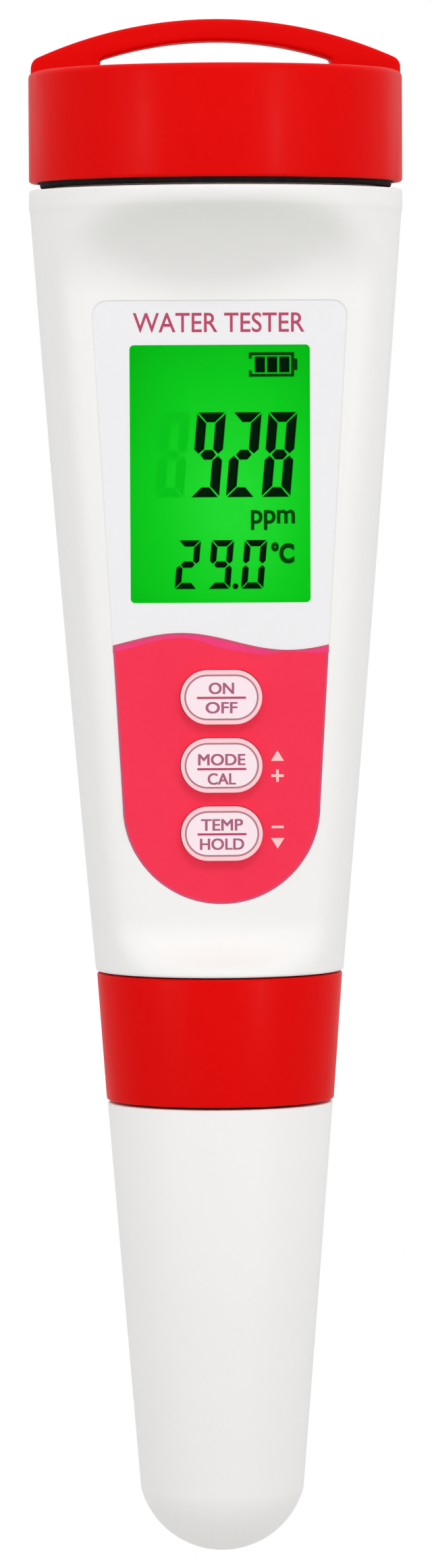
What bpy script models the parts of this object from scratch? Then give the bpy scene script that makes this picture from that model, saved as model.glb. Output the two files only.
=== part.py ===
"""Pen-type digital water tester: a tapered housing with a sunk display face, a screw cap with a
lanyard loop, three push keys, a replaceable electrode held by a threaded collar, and a push-on cap.

Run with: blender --background --python part.py
Metres, +Z up, the display faces -Y. The origin is the crown of the lanyard loop's opening, where the
tester hangs. Heights are measured up from the rounded tip of the sensor cap, through the empty TIP.
"""

import math

import bmesh
import bpy

MM = 0.001

# --- Driving dimensions -------------------------------------------------------------------------
OVERALL_LENGTH = 180.2 * MM
CAP_RADIUS = 21.9 * MM
LOOP_CROWN_HEIGHT = 177.7 * MM

# One cone runs down the whole tester, from the housing's rim to the end of the sensor cap.
CONE_LOW_HEIGHT = 7.34 * MM
CONE_LOW_RADIUS = 9.6 * MM
CONE_HIGH_HEIGHT = 157.3 * MM
CONE_HIGH_RADIUS = 21.75 * MM
HOUSING_BOW = 0.2 * MM  # the housing's side swells this much halfway up

HOUSING_BOTTOM = 68.7 * MM
HOUSING_TOP = 160.3 * MM
HOUSING_WALL = 2.2 * MM
SPIGOT_BOTTOM = 58.4 * MM
SPIGOT_RADIUS = 11.4 * MM
SPIGOT_BORE = 9.8 * MM
NECK_TOP = 170.6 * MM
NECK_RADIUS = 18.9 * MM
NECK_BORE = 17.2 * MM
LIP_HEIGHT = 2.4 * MM

# Sunk display face: a plane leaning back towards the tip, with a scoop at each end.
FACE_REFERENCE_HEIGHT = 100 * MM
FACE_REFERENCE_DEPTH = 10.27 * MM
FACE_SLOPE = 0.0286
FACE_BOTTOM = 74.9 * MM
FACE_TOP = 147.6 * MM
SCOOP_TOP_RADIUS = 10.3 * MM
SCOOP_BOTTOM_RADIUS = 4.6 * MM
FACE_WALL = 1.8 * MM

# Screw threads, both right-handed with one start.
THREAD_LEAD = 4.0 * MM
THREAD_ROOT_WIDTH = 2.0 * MM
THREAD_CREST_WIDTH = 1.1 * MM

# Display and label.
LABEL_TOP = 147.2 * MM
LABEL_HALF_WIDTH_TOP = 14.75 * MM
LABEL_END_RADIUS = 11.5 * MM
LABEL_END_HEIGHT = 88.5 * MM
LABEL_POCKET_DEPTH = 0.55 * MM
LABEL_THICKNESS = 0.4 * MM
LABEL_GAP = 0.25 * MM
WINDOW_WIDTH = 20.9 * MM
WINDOW_HEIGHT = 29.9 * MM
WINDOW_CENTRE = 127.1 * MM

# Keys.
KEY_NAMES = ("on_off", "mode_cal", "temp_hold")
KEY_TOP_HEIGHT = 101.2 * MM
KEY_PITCH = 7.95 * MM
KEY_WIDTH = 9.5 * MM
KEY_HEIGHT = 6.3 * MM
KEY_PROUD = 0.95 * MM
KEY_CLEARANCE = 0.2 * MM

# Two AAA cells side by side behind the circuit board.
CELL_RADIUS = 5.2 * MM
CELL_SPREAD = 5.75 * MM
CELL_DEPTH = 7.4 * MM
CELL_BOTTOM = 123.0 * MM
CELL_LENGTH = 44.5 * MM

# Collar, electrode and sensor cap.
COLLAR_BOTTOM = 53.5 * MM
COLLAR_TOP = 68.5 * MM
COLLAR_STEP = 0.12 * MM  # the collar stands this far inside the housing's cone
COLLAR_LIP_RADIUS = 10.95 * MM
SENSOR_CAP_TOP = 53.2 * MM
SENSOR_CAP_BORE = 11.0 * MM
SENSOR_CAP_WALL = 1.9 * MM
ELECTRODE_TIP = 13.0 * MM
CAP_BOTTOM = 161.2 * MM
CAP_RIM = 174.2 * MM
CAP_ROOF = 173.1 * MM

ROUND = 40  # sides of a large turned piece
FINE = 0.3 * MM  # clearance between pieces that touch in the real tester


# --- Shared helpers -----------------------------------------------------------------------------
def clear_scene():
    for old in list(bpy.data.objects):
        bpy.data.objects.remove(old)


def plastic(name, colour, roughness=0.4, metallic=0.0):
    made = bpy.data.materials.new(name)
    made.use_nodes = True
    shader = made.node_tree.nodes["Principled BSDF"]
    shader.inputs["Base Color"].default_value = (*colour, 1)
    shader.inputs["Roughness"].default_value = roughness
    shader.inputs["Metallic"].default_value = metallic
    made.diffuse_color = (*colour, 1)
    return made


def frame(name, parent=None, location=(0, 0, 0), tilt=0.0):
    empty = bpy.data.objects.new(name, None)
    bpy.context.scene.collection.objects.link(empty)
    empty.parent = parent
    empty.location = location
    empty.rotation_euler = (tilt, 0, 0)
    return empty


def add_object(name, mesh, material, parent, location=(0, 0, 0)):
    made = bpy.data.objects.new(name, mesh)
    bpy.context.scene.collection.objects.link(made)
    made.parent = parent
    made.location = location
    if material:
        mesh.materials.append(material)
    return made


def mesh_from(name, bm):
    bmesh.ops.recalc_face_normals(bm, faces=bm.faces)
    mesh = bpy.data.meshes.new(name)
    bm.to_mesh(mesh)
    bm.free()
    mesh.shade_smooth()
    mesh.set_sharp_from_angle(angle=math.radians(35))
    return mesh


def arc(centre, radius, start, end, steps):
    """Points on an arc, from one angle to another in degrees, both ends included."""
    angles = [math.radians(start + (end - start) * i / steps) for i in range(steps + 1)]
    return [(centre[0] + radius * math.cos(a), centre[1] + radius * math.sin(a)) for a in angles]


def circle(radius, sides=24, centre=(0, 0)):
    return arc(centre, radius, 0, 360 * (1 - 1 / sides), sides - 1)


def rounded_rectangle(width, height, radius, steps=3):
    x, y = width / 2 - radius, height / 2 - radius
    corners = ((x, y, 0), (-x, y, 90), (-x, -y, 180), (x, -y, 270))
    return [p for cx, cy, a in corners for p in arc((cx, cy), radius, a, a + 90, steps)]


def pill(width, height, steps=10):
    return (arc((width / 2 - height / 2, 0), height / 2, -90, 90, steps)
            + arc((height / 2 - width / 2, 0), height / 2, 90, 270, steps))


def shifted(outline, dx, dy):
    return [(x + dx, y + dy) for x, y in outline]


def prism_mesh(name, outline, low, high, plane="xy"):
    """An outline extruded from low to high: along z, or along x for a (y, z) outline."""
    def place(point, level):
        return (*point, level) if plane == "xy" else (level, *point)

    bm = bmesh.new()
    rings = [[bm.verts.new(place(p, level)) for p in outline] for level in (low, high)]
    bm.faces.new(rings[0])
    bm.faces.new(rings[1])
    count = len(outline)
    for i in range(count):
        j = (i + 1) % count
        bm.faces.new((rings[0][i], rings[0][j], rings[1][j], rings[1][i]))
    return mesh_from(name, bm)


def turned_mesh(name, profile, sides=ROUND):
    """A closed (radius, height) profile turned round the z axis."""
    bm = bmesh.new()
    rings = []
    for radius, height in profile:
        if radius == 0:
            rings.append([bm.verts.new((0, 0, height))] * sides)
            continue
        rings.append([bm.verts.new((x, y, height)) for x, y in circle(radius, sides)])
    for low, high in zip(rings, rings[1:] + rings[:1]):
        for i in range(sides):
            j = (i + 1) % sides
            corners = list(dict.fromkeys((low[i], low[j], high[j], high[i])))
            if len(corners) > 2:
                bm.faces.new(corners)
    return mesh_from(name, bm)


def prism(name, outline, low, high, material, parent, location=(0, 0, 0)):
    return add_object(name, prism_mesh(name, outline, low, high), material, parent, location)


def turned(name, profile, material, parent, sides=ROUND, location=(0, 0, 0)):
    return add_object(name, turned_mesh(name, profile, sides), material, parent, location)


def swept_mesh(name, sections):
    """A closed bar through a row of cross-sections, each a list of (x, y, z) points."""
    bm = bmesh.new()
    rings = [[bm.verts.new(p) for p in section] for section in sections]
    count = len(rings[0])
    for low, high in zip(rings, rings[1:]):
        for i in range(count):
            j = (i + 1) % count
            bm.faces.new((low[i], low[j], high[j], high[i]))
    bm.faces.new(rings[0])
    bm.faces.new(rings[-1])
    return mesh_from(name, bm)


def thread_ridge(name, root, crest, start, turns, phase, parent):
    """A right-handed helical ridge, faded at both ends; crest is inside root on an inner thread."""
    steps = round(24 * turns)
    fade = 3
    sections = []
    for i in range(steps + 1):
        angle = phase + 2 * math.pi * turns * i / steps
        height = start + THREAD_LEAD * turns * i / steps
        share = min(1, (i + 1) / fade, (steps - i + 1) / fade)
        top = root + (crest - root) * share
        corners = ((root, -THREAD_ROOT_WIDTH / 2), (top, -THREAD_CREST_WIDTH / 2),
                   (top, THREAD_CREST_WIDTH / 2), (root, THREAD_ROOT_WIDTH / 2))
        sections.append([(r * math.cos(angle), r * math.sin(angle), height + dz) for r, dz in corners])
    return tool(add_object(name, swept_mesh(name, sections), None, parent))


def smooth_route(points, per_span=6):
    """Points on a Catmull-Rom curve through a route."""
    padded = [points[0], *points, points[-1]]
    route = []
    for a, b, c, d in zip(padded, padded[1:], padded[2:], padded[3:]):
        for i in range(per_span):
            t = i / per_span
            weights = (-t + 2 * t**2 - t**3, 2 - 5 * t**2 + 3 * t**3,
                       t + 4 * t**2 - 3 * t**3, t**3 - t**2)
            route.append([sum(w * p[k] for w, p in zip(weights, (a, b, c, d))) / 2 for k in range(3)])
    return [*route, list(points[-1])]


def wire(name, route, radius, material, parent):
    curve = bpy.data.curves.new(name, "CURVE")
    curve.dimensions = "3D"
    curve.bevel_depth = radius
    curve.bevel_resolution = 1
    curve.use_fill_caps = True
    spline = curve.splines.new("POLY")
    spline.points.add(len(route) - 1)
    for point, place in zip(spline.points, route):
        point.co = (*place, 1)
    curve.materials.append(material)
    made = bpy.data.objects.new(name, curve)
    bpy.context.scene.collection.objects.link(made)
    made.parent = parent
    return made


def tool(helper):
    """Marks a cutter or an addition, which isn't a piece itself."""
    helper.hide_render = True
    helper.display_type = "WIRE"
    return helper


def combine(target, operation, *helpers):
    for helper in helpers:
        modifier = target.modifiers.new(helper.name, "BOOLEAN")
        modifier.operation = operation
        modifier.object = helper
        modifier.solver = "EXACT"
    return target


def cut(target, *helpers):
    return combine(target, "DIFFERENCE", *helpers)


def join(target, *helpers):
    return combine(target, "UNION", *helpers)


def bevel(target, width, segments=1, angle=40):
    modifier = target.modifiers.new("edge", "BEVEL")
    modifier.width = width
    modifier.segments = segments
    modifier.limit_method = "ANGLE"
    modifier.angle_limit = math.radians(angle)
    modifier.use_clamp_overlap = True
    return target


def cone_radius(height):
    share = (height - CONE_LOW_HEIGHT) / (CONE_HIGH_HEIGHT - CONE_LOW_HEIGHT)
    return CONE_LOW_RADIUS + (CONE_HIGH_RADIUS - CONE_LOW_RADIUS) * share


def housing_radius(height):
    share = (height - HOUSING_BOTTOM) / (CONE_HIGH_HEIGHT - HOUSING_BOTTOM)
    return cone_radius(height) + HOUSING_BOW * math.sin(math.pi * share)


def face_depth(height):
    """How far in front of the axis the display face lies."""
    return FACE_REFERENCE_DEPTH + FACE_SLOPE * (height - FACE_REFERENCE_HEIGHT)


def on_face(height):
    """Where a height above the tip lies along the leaning face."""
    return (height - FACE_REFERENCE_HEIGHT) * math.hypot(1, FACE_SLOPE)


def ring_profile(radius, height, thickness, steps=6):
    return arc((radius, height), thickness, 0, 360 * (1 - 1 / steps), steps - 1)


# --- Materials ----------------------------------------------------------------------------------
def make_materials():
    return {
        "white": plastic("white_shell", (0.86, 0.86, 0.85), 0.45),
        "red": plastic("red_plastic", (0.78, 0.01, 0.01), 0.4),
        "label": plastic("label_film", (0.93, 0.9, 0.92), 0.3),
        "key": plastic("key_plastic", (0.93, 0.82, 0.84), 0.4),
        "lens": plastic("clear_lens", (0.05, 0.75, 0.1), 0.1),
        "glass": plastic("lcd_glass", (0.1, 0.6, 0.12), 0.15),
        "guide": plastic("light_guide", (0.55, 0.95, 0.55), 0.3),
        "black": plastic("black_plastic", (0.02, 0.02, 0.02), 0.5),
        "rubber": plastic("black_rubber", (0.03, 0.03, 0.03), 0.8),
        "board": plastic("circuit_board", (0.02, 0.25, 0.09), 0.5),
        "steel": plastic("steel", (0.7, 0.7, 0.72), 0.25, 1),
        "nickel": plastic("nickel_contact", (0.75, 0.72, 0.66), 0.3, 1),
        "gold": plastic("gold_contact", (0.85, 0.6, 0.2), 0.25, 1),
        "platinum": plastic("platinum", (0.8, 0.79, 0.77), 0.2, 1),
        "cell": plastic("cell_jacket", (0.1, 0.12, 0.16), 0.35),
        "ceramic": plastic("ceramic", (0.9, 0.88, 0.82), 0.7),
        "clear": plastic("electrode_glass", (0.75, 0.82, 0.85), 0.08),
        "sponge": plastic("sponge", (0.85, 0.78, 0.45), 0.95),
        "red_wire": plastic("red_wire", (0.6, 0.02, 0.02), 0.5),
        "black_wire": plastic("black_wire", (0.02, 0.02, 0.02), 0.5),
    }


# --- Housing ------------------------------------------------------------------------------------
def front_block(name, wall, parent):
    """All that lies in front of the face and its two hollow scoops, grown backwards by a wall."""
    front = -1.5 * CAP_RADIUS
    low = (-face_depth(FACE_BOTTOM) - SCOOP_BOTTOM_RADIUS, FACE_BOTTOM)
    high = (-face_depth(FACE_TOP) - SCOOP_TOP_RADIUS, FACE_TOP)
    side = (arc(low, SCOOP_BOTTOM_RADIUS + wall, -90, 0, 5)
            + arc(high, SCOOP_TOP_RADIUS + wall, 0, 90, 7))
    side += [(front, side[-1][1]), (front, side[0][1])]
    mesh = prism_mesh(name, side, -1.5 * CAP_RADIUS, 1.5 * CAP_RADIUS, "yz")
    return tool(add_object(name, mesh, None, parent))


def cavity_cutter(parent):
    """The room inside the housing: round, with a flat front that leaves a wall behind the face."""
    shelf = HOUSING_BOTTOM + 1.3 * MM
    shoulder = CONE_HIGH_HEIGHT - 1.8 * MM
    heights = [shelf + (shoulder - shelf) * i / 3 for i in range(4)]
    profile = [(0, SPIGOT_BOTTOM - MM), (SPIGOT_BORE, SPIGOT_BOTTOM - MM), (SPIGOT_BORE, shelf)]
    profile += [(housing_radius(h) - HOUSING_WALL, h) for h in heights]
    profile += [(NECK_BORE, shoulder + 3 * MM), (NECK_BORE, NECK_TOP + MM), (0, NECK_TOP + MM)]
    room = tool(turned("cavity", profile, None, parent))
    return cut(room, front_block("cavity_front", FACE_WALL, parent))


def label_outline(margin):
    """Straight sides that close in downwards, a half-round end and rounded top corners."""
    top, end = on_face(LABEL_TOP) + margin, on_face(LABEL_END_HEIGHT)
    wide, narrow = LABEL_HALF_WIDTH_TOP + margin, LABEL_END_RADIUS + margin
    corner = 1.7 * MM + margin
    return (arc((0, end), narrow, 180, 360, 20)
            + arc((wide - corner, top - corner), corner, 0, 90, 4)
            + arc((corner - wide, top - corner), corner, 90, 180, 4))


def key_places():
    return [on_face(KEY_TOP_HEIGHT - i * KEY_PITCH) for i in range(len(KEY_NAMES))]


def key_hole_cutters(prefix, face, low, high):
    hole = pill(KEY_WIDTH + 2 * KEY_CLEARANCE, KEY_HEIGHT + 2 * KEY_CLEARANCE)
    return [tool(prism(f"{prefix}_{name}", shifted(hole, 0, v), low, high, None, face))
            for name, v in zip(KEY_NAMES, key_places())]


def housing_shell(mats, tip, face):
    heights = [HOUSING_BOTTOM + (CONE_HIGH_HEIGHT - HOUSING_BOTTOM) * i / 4 for i in range(5)]
    profile = [(0, SPIGOT_BOTTOM), (SPIGOT_RADIUS, SPIGOT_BOTTOM), (SPIGOT_RADIUS, HOUSING_BOTTOM)]
    profile += [(housing_radius(h), h) for h in heights]
    profile += [(CAP_RADIUS, HOUSING_TOP - LIP_HEIGHT), (CAP_RADIUS, HOUSING_TOP - FINE),
                (CAP_RADIUS - FINE, HOUSING_TOP), (NECK_RADIUS, HOUSING_TOP),
                (NECK_RADIUS, NECK_TOP - 0.5 * MM), (NECK_RADIUS - 0.5 * MM, NECK_TOP), (0, NECK_TOP)]
    shell = turned("housing_shell", profile, mats["white"], tip)
    join(shell,
         thread_ridge("neck_thread", NECK_RADIUS - 0.4 * MM, NECK_RADIUS + 1.05 * MM,
                      164.6 * MM, 1.1, 0.05, tip),
         thread_ridge("spigot_thread", SPIGOT_RADIUS - 0.4 * MM, SPIGOT_RADIUS + 0.85 * MM,
                      60.6 * MM, 1.4, 0.05, tip))
    cut(shell, front_block("face_cutter", 0, tip), cavity_cutter(tip))
    pocket = prism("label_pocket", label_outline(LABEL_GAP), -LABEL_POCKET_DEPTH, 2 * MM, None, face)
    window = prism("window_opening", shifted(window_outline(FINE), 0, on_face(WINDOW_CENTRE)),
                   -4 * MM, MM, None, face)
    cut(shell, tool(pocket), tool(window), *key_hole_cutters("key_hole", face, -4 * MM, MM))
    keyways = [tool(prism(f"neck_keyway_{i}", shifted(rounded_rectangle(2.8 * MM, 4 * MM, 0.3 * MM),
                                                      side * 16.5 * MM, 0),
                          168 * MM, NECK_TOP + MM, None, tip)) for i, side in enumerate((-1, 1))]
    notch = shifted(rounded_rectangle(2.6 * MM, 2 * MM, 0.3 * MM), 0, 9.6 * MM)
    spigot_keyway = prism("spigot_keyway", notch, SPIGOT_BOTTOM - MM, SPIGOT_BOTTOM + 4 * MM, None, tip)
    return cut(shell, *keyways, tool(spigot_keyway))


def window_outline(margin):
    return rounded_rectangle(WINDOW_WIDTH + 2 * margin, WINDOW_HEIGHT + 2 * margin, 0.5 * MM + margin)


# --- Display face -------------------------------------------------------------------------------
def front_label(mats, face):
    low = 0.1 * MM - LABEL_POCKET_DEPTH
    label = prism("front_label", label_outline(0), low, low + LABEL_THICKNESS, mats["label"], face)
    opening = prism("label_window", shifted(window_outline(0.15 * MM), 0, on_face(WINDOW_CENTRE)),
                    -MM, MM, None, face)
    return cut(label, tool(opening), *key_hole_cutters("label_key_hole", face, -MM, MM))


def lcd_window(mats, face):
    centre = (0, on_face(WINDOW_CENTRE), 0)
    return prism("lcd_window", window_outline(0), -FACE_WALL, -0.05 * MM, mats["lens"], face, centre)


def lcd_stack(mats, face):
    """Glass, light guide, connector strip and the bezel that holds them against the wall."""
    centre = (0, on_face(WINDOW_CENTRE), 0)
    prism("lcd_glass", rounded_rectangle(23.6 * MM, 34.4 * MM, 0.4 * MM, 2),
          -4.6 * MM, -2.4 * MM, mats["glass"], face, centre)
    prism("backlight_panel", shifted(rounded_rectangle(23.4 * MM, 31.4 * MM, 0.6 * MM, 2), 0, 1.4 * MM),
          -7.0 * MM, -4.9 * MM, mats["guide"], face, centre)
    prism("zebra_strip", shifted(rounded_rectangle(21 * MM, 1.8 * MM, 0.3 * MM, 2), 0, -16 * MM),
          -7.9 * MM, -4.9 * MM, mats["rubber"], face, centre)
    bezel = prism("lcd_bezel", rounded_rectangle(25.8 * MM, 36.8 * MM, 0.8 * MM, 2),
                  -7.9 * MM, -2.2 * MM, mats["black"], face, centre)
    inside = prism("bezel_inside", rounded_rectangle(24.2 * MM, 35.2 * MM, 0.5 * MM, 2),
                   -9 * MM, -MM, None, face, centre)
    posts = [tool(prism(f"bezel_post_{i}", circle(1.6 * MM, 16), -7.9 * MM, -2.6 * MM, None, face,
                        (x, centre[1] + y, 0))) for i, (x, y) in enumerate(screw_places())]
    holes = [tool(prism(f"bezel_hole_{i}", circle(1.0 * MM, 12), -9 * MM, -3.6 * MM, None, face,
                        (x, centre[1] + y, 0))) for i, (x, y) in enumerate(screw_places())]
    cut(bezel, tool(inside))
    join(bezel, *posts)
    cut(bezel, *holes)


def screw_places():
    """The board's four screws, from the middle of the display."""
    return [(x, y) for y in (19.8 * MM, -19.8 * MM) for x in (-10 * MM, 10 * MM)]


def main_board(mats, face):
    top, bottom = on_face(150.5 * MM), on_face(81 * MM)
    wide, narrow, corner = 13.4 * MM, 11.4 * MM, MM
    outline = (arc((narrow - corner, bottom + corner), corner, -90, 0, 2)
               + arc((wide - corner, top - corner), corner, 0, 90, 2)
               + arc((corner - wide, top - corner), corner, 90, 180, 2)
               + arc((corner - narrow, bottom + corner), corner, 180, 270, 2))
    board = prism("main_board", outline, -9.4 * MM, -8.2 * MM, mats["board"], face)
    middle = on_face(WINDOW_CENTRE)
    holes = [tool(prism(f"board_hole_{i}", circle(1.1 * MM, 12), -11 * MM, -7 * MM, None, face,
                        (x, middle + y, 0))) for i, (x, y) in enumerate(screw_places())]
    cut(board, *holes)
    for i, (x, y) in enumerate(screw_places()):
        profile = [(0, -10.7 * MM), (1.3 * MM, -10.7 * MM), (1.7 * MM, -10.3 * MM), (1.7 * MM, -9.7 * MM),
                   (0.75 * MM, -9.7 * MM), (0.75 * MM, -4.6 * MM), (0, -4.1 * MM)]
        screw = turned(f"board_screw_{i + 1}", profile, mats["steel"], face, 12, (x, middle + y, 0))
        slot = prism(f"screw_slot_{i}", rounded_rectangle(4 * MM, 0.5 * MM, 0.1 * MM, 1),
                     -11 * MM, -10.3 * MM, None, face, (x, middle + y, 0))
        cut(screw, tool(slot))
    prism("controller_chip", rounded_rectangle(9 * MM, 9 * MM, 0.3 * MM, 1), -11.1 * MM, -9.7 * MM,
          mats["black"], face, (0, on_face(97 * MM), 0))
    prism("amplifier_chip", rounded_rectangle(6 * MM, 5 * MM, 0.3 * MM, 1), -11.1 * MM, -9.7 * MM,
          mats["black"], face, (-3 * MM, on_face(87 * MM), 0))


# --- Keys ---------------------------------------------------------------------------------------
def key(name, v, mats, face):
    """A pill-shaped key on its own frame, with a flange behind the wall and a stem to its switch."""
    seat = frame(f"{name}_frame", face, (0, v, 0))
    cap = prism(f"button_{name}", pill(KEY_WIDTH, KEY_HEIGHT), -2.6 * MM, KEY_PROUD, mats["key"], seat)
    bevel(cap, 0.4 * MM, 2, 60)
    flange = prism(f"{name}_flange", pill(KEY_WIDTH + 1.6 * MM, KEY_HEIGHT + 1.1 * MM),
                   -2.95 * MM, -2.1 * MM, None, seat)
    stem = prism(f"{name}_stem", circle(1.5 * MM, 16), -4.6 * MM, -2.5 * MM, None, seat)
    join(cap, tool(flange), tool(stem))
    prism(f"switch_plunger_{name}", circle(1.7 * MM, 16), -6.9 * MM, -4.9 * MM, mats["black"], seat)
    body = prism(f"tact_switch_{name}", rounded_rectangle(6 * MM, 6 * MM, 0.4 * MM, 1),
                 -7.9 * MM, -5.5 * MM, mats["steel"], seat)
    well = prism(f"{name}_well", circle(2.0 * MM, 16), -7.6 * MM, -5 * MM, None, seat)
    cut(body, tool(well))


def keypad(mats, face):
    places = key_places()
    for name, v in zip(KEY_NAMES, places):
        key(name, v, mats, face)
    middle = (0, places[1], 0)
    retainer = prism("keypad_retainer", rounded_rectangle(14.6 * MM, 26 * MM, 2 * MM), -4.5 * MM, -2.1 * MM,
                     mats["rubber"], face, middle)
    pocket = prism("retainer_pocket", rounded_rectangle(12 * MM, 24 * MM, 1.5 * MM), -3.75 * MM, -MM,
                   None, face, middle)
    stems = [tool(prism(f"stem_hole_{i}", circle(1.9 * MM, 16), -6 * MM, -MM, None, face, (0, v, 0)))
             for i, v in enumerate(places)]
    cut(retainer, tool(pocket), *stems)


# --- Battery ------------------------------------------------------------------------------------
def battery(mats, tip):
    holder_floor = CELL_BOTTOM - 1.8 * MM
    holder = prism("battery_holder", shifted(pill(24.4 * MM, 12.9 * MM, 12), 0, CELL_DEPTH),
                   118.5 * MM, 165.5 * MM, mats["black"], tip)
    for i, side in enumerate((-1, 1)):
        centre = (side * CELL_SPREAD, CELL_DEPTH, 0)
        bore = prism(f"cell_bore_{i}", circle(CELL_RADIUS + FINE, 24), holder_floor, 167 * MM, None, tip,
                     centre)
        cut(holder, tool(bore))
    battery_cell("battery_cell_1", -1, mats, tip)
    battery_cell("battery_cell_2", 1, mats, tip)
    spring_contact(mats, tip, holder_floor)
    place = (CELL_SPREAD, CELL_DEPTH, 0)
    turned("positive_contact", [(0, holder_floor + 0.2 * MM), (4.4 * MM, holder_floor + 0.2 * MM),
                                (4.4 * MM, holder_floor + 0.6 * MM), (1.6 * MM, CELL_BOTTOM - 0.3 * MM),
                                (0, CELL_BOTTOM - 0.3 * MM)], mats["nickel"], tip, 20, place)


def battery_cell(name, side, mats, tip):
    """The left cell stands with its plus end up and the right one with its plus end down."""
    nipple, jacket = 0.9 * MM, CELL_LENGTH - 0.9 * MM
    profile = [(0, 0), (CELL_RADIUS - 0.3 * MM, 0), (CELL_RADIUS, 0.3 * MM), (CELL_RADIUS, jacket - 0.4 * MM),
               (CELL_RADIUS - 0.6 * MM, jacket), (1.9 * MM, jacket), (1.9 * MM, jacket + nipple),
               (0, jacket + nipple)]
    if side > 0:
        profile = [(r, CELL_LENGTH - h) for r, h in profile]
    turned(name, profile, mats["cell"], tip, 24, (side * CELL_SPREAD, CELL_DEPTH, CELL_BOTTOM))


def spring_contact(mats, tip, floor):
    """A conical coil under the minus end of the left cell."""
    wire_radius, turns, steps = 0.22 * MM, 2.5, 30
    low, high = floor + 0.35 * MM, CELL_BOTTOM - 0.4 * MM
    route = []
    for i in range(steps + 1):
        share = i / steps
        radius = (4.0 - 1.8 * share) * MM
        angle = 2 * math.pi * turns * share
        route.append((radius * math.cos(angle) - CELL_SPREAD, radius * math.sin(angle) + CELL_DEPTH,
                      low + (high - low) * share))
    wire("negative_spring", route, wire_radius, mats["steel"], tip)


def battery_leads(mats, tip):
    for name, side, material in (("red", 1, "red_wire"), ("black", -1, "black_wire")):
        x = side * CELL_SPREAD
        route = smooth_route([(x, CELL_DEPTH, 118.2 * MM), (x, 7.0 * MM, 115 * MM),
                              (x + side * MM, 4.5 * MM, 112 * MM), (x, 1.8 * MM, 110 * MM),
                              (x - side * MM, -0.6 * MM, 109 * MM)], 4)
        wire(f"battery_lead_{name}", route, 0.45 * MM, mats[material], tip)


# --- Top cap ------------------------------------------------------------------------------------
def loop_outline():
    """The arched lanyard loop seen from the front, with its feet sunk in the cap's roof."""
    arch_radius, bend, foot = 51 * MM, 1.3 * MM, 172 * MM
    half = CAP_RADIUS - 0.3 * MM
    low = OVERALL_LENGTH - arch_radius
    rise = math.sqrt((arch_radius - bend) ** 2 - (half - bend) ** 2)
    lean = math.degrees(math.atan2(rise, half - bend))
    right = arc((half - bend, low + rise), bend, 0, lean, 4)
    arch = arc((0, low), arch_radius, lean, 180 - lean, 14)
    left = arc((bend - half, low + rise), bend, 180 - lean, 180, 4)
    return [(half, foot), *right, *arch[1:-1], *left, (-half, foot)]


def loop_opening():
    """The crescent between the loop and the roof."""
    inner_radius, half = 44 * MM, 13.5 * MM
    centre = (0, LOOP_CROWN_HEIGHT - inner_radius)
    lean = math.degrees(math.asin(half / inner_radius))
    return [(-half, CAP_ROOF), (half, CAP_ROOF), *arc(centre, inner_radius, 90 - lean, 90 + lean, 13)]


def front_prism(name, outline, depth, material, parent):
    """An (x, z) outline extruded to the same depth in front of and behind the axis."""
    mesh = prism_mesh(name, outline, -depth, depth)
    for vertex in mesh.vertices:
        x, y, z = vertex.co
        vertex.co = (x, -z, y)
    return add_object(name, mesh, material, parent)


def top_cap(mats, tip):
    wall, rebate = CAP_RADIUS - 1.6 * MM, CAP_RADIUS - 1.0 * MM
    roof_inside = CAP_ROOF - 1.5 * MM
    profile = [(wall, roof_inside), (wall, CAP_BOTTOM + 1.4 * MM), (rebate, CAP_BOTTOM + 1.1 * MM),
               (rebate, CAP_BOTTOM), (CAP_RADIUS - 0.2 * MM, CAP_BOTTOM), (CAP_RADIUS, CAP_BOTTOM + 0.2 * MM),
               *arc((CAP_RADIUS - 0.8 * MM, CAP_RIM - 0.8 * MM), 0.8 * MM, 0, 90, 3),
               (CAP_RADIUS - 1.6 * MM, CAP_RIM), (CAP_RADIUS - 2.4 * MM, CAP_ROOF), (0, CAP_ROOF),
               (0, roof_inside)]
    cap = turned("top_cap", profile, mats["red"], tip)
    loop = cut(front_prism("lanyard_loop", loop_outline(), 3 * MM, None, tip),
               tool(front_prism("loop_opening", loop_opening(), 5 * MM, None, tip)))
    bevel(loop, 0.5 * MM, 2, 50)
    stud = prism("cap_stud", circle(2.4 * MM, 20), 169.0 * MM, CAP_ROOF - 0.5 * MM, None, tip)
    ridge = thread_ridge("cap_thread", wall + 0.4 * MM, wall - 1.05 * MM, 164.6 * MM, 1.1,
                         0.05 + math.pi, tip)
    join(cap, tool(loop), tool(stud), ridge)
    stud_hole = prism("stud_hole", circle(1.3 * MM, 12), 168 * MM, 172.0 * MM, None, tip)
    return cut(cap, tool(stud_hole))


def cap_seal(mats, tip):
    """A rubber ring round the neck, which the screw cap closes over."""
    inner, outer = CAP_RADIUS - 2.8 * MM, CAP_RADIUS - 1.3 * MM
    profile = [(inner, 160.6 * MM), (outer, 160.6 * MM), (outer, 161.9 * MM), (inner, 161.9 * MM)]
    turned("cap_seal", profile, mats["rubber"], tip)


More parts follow.
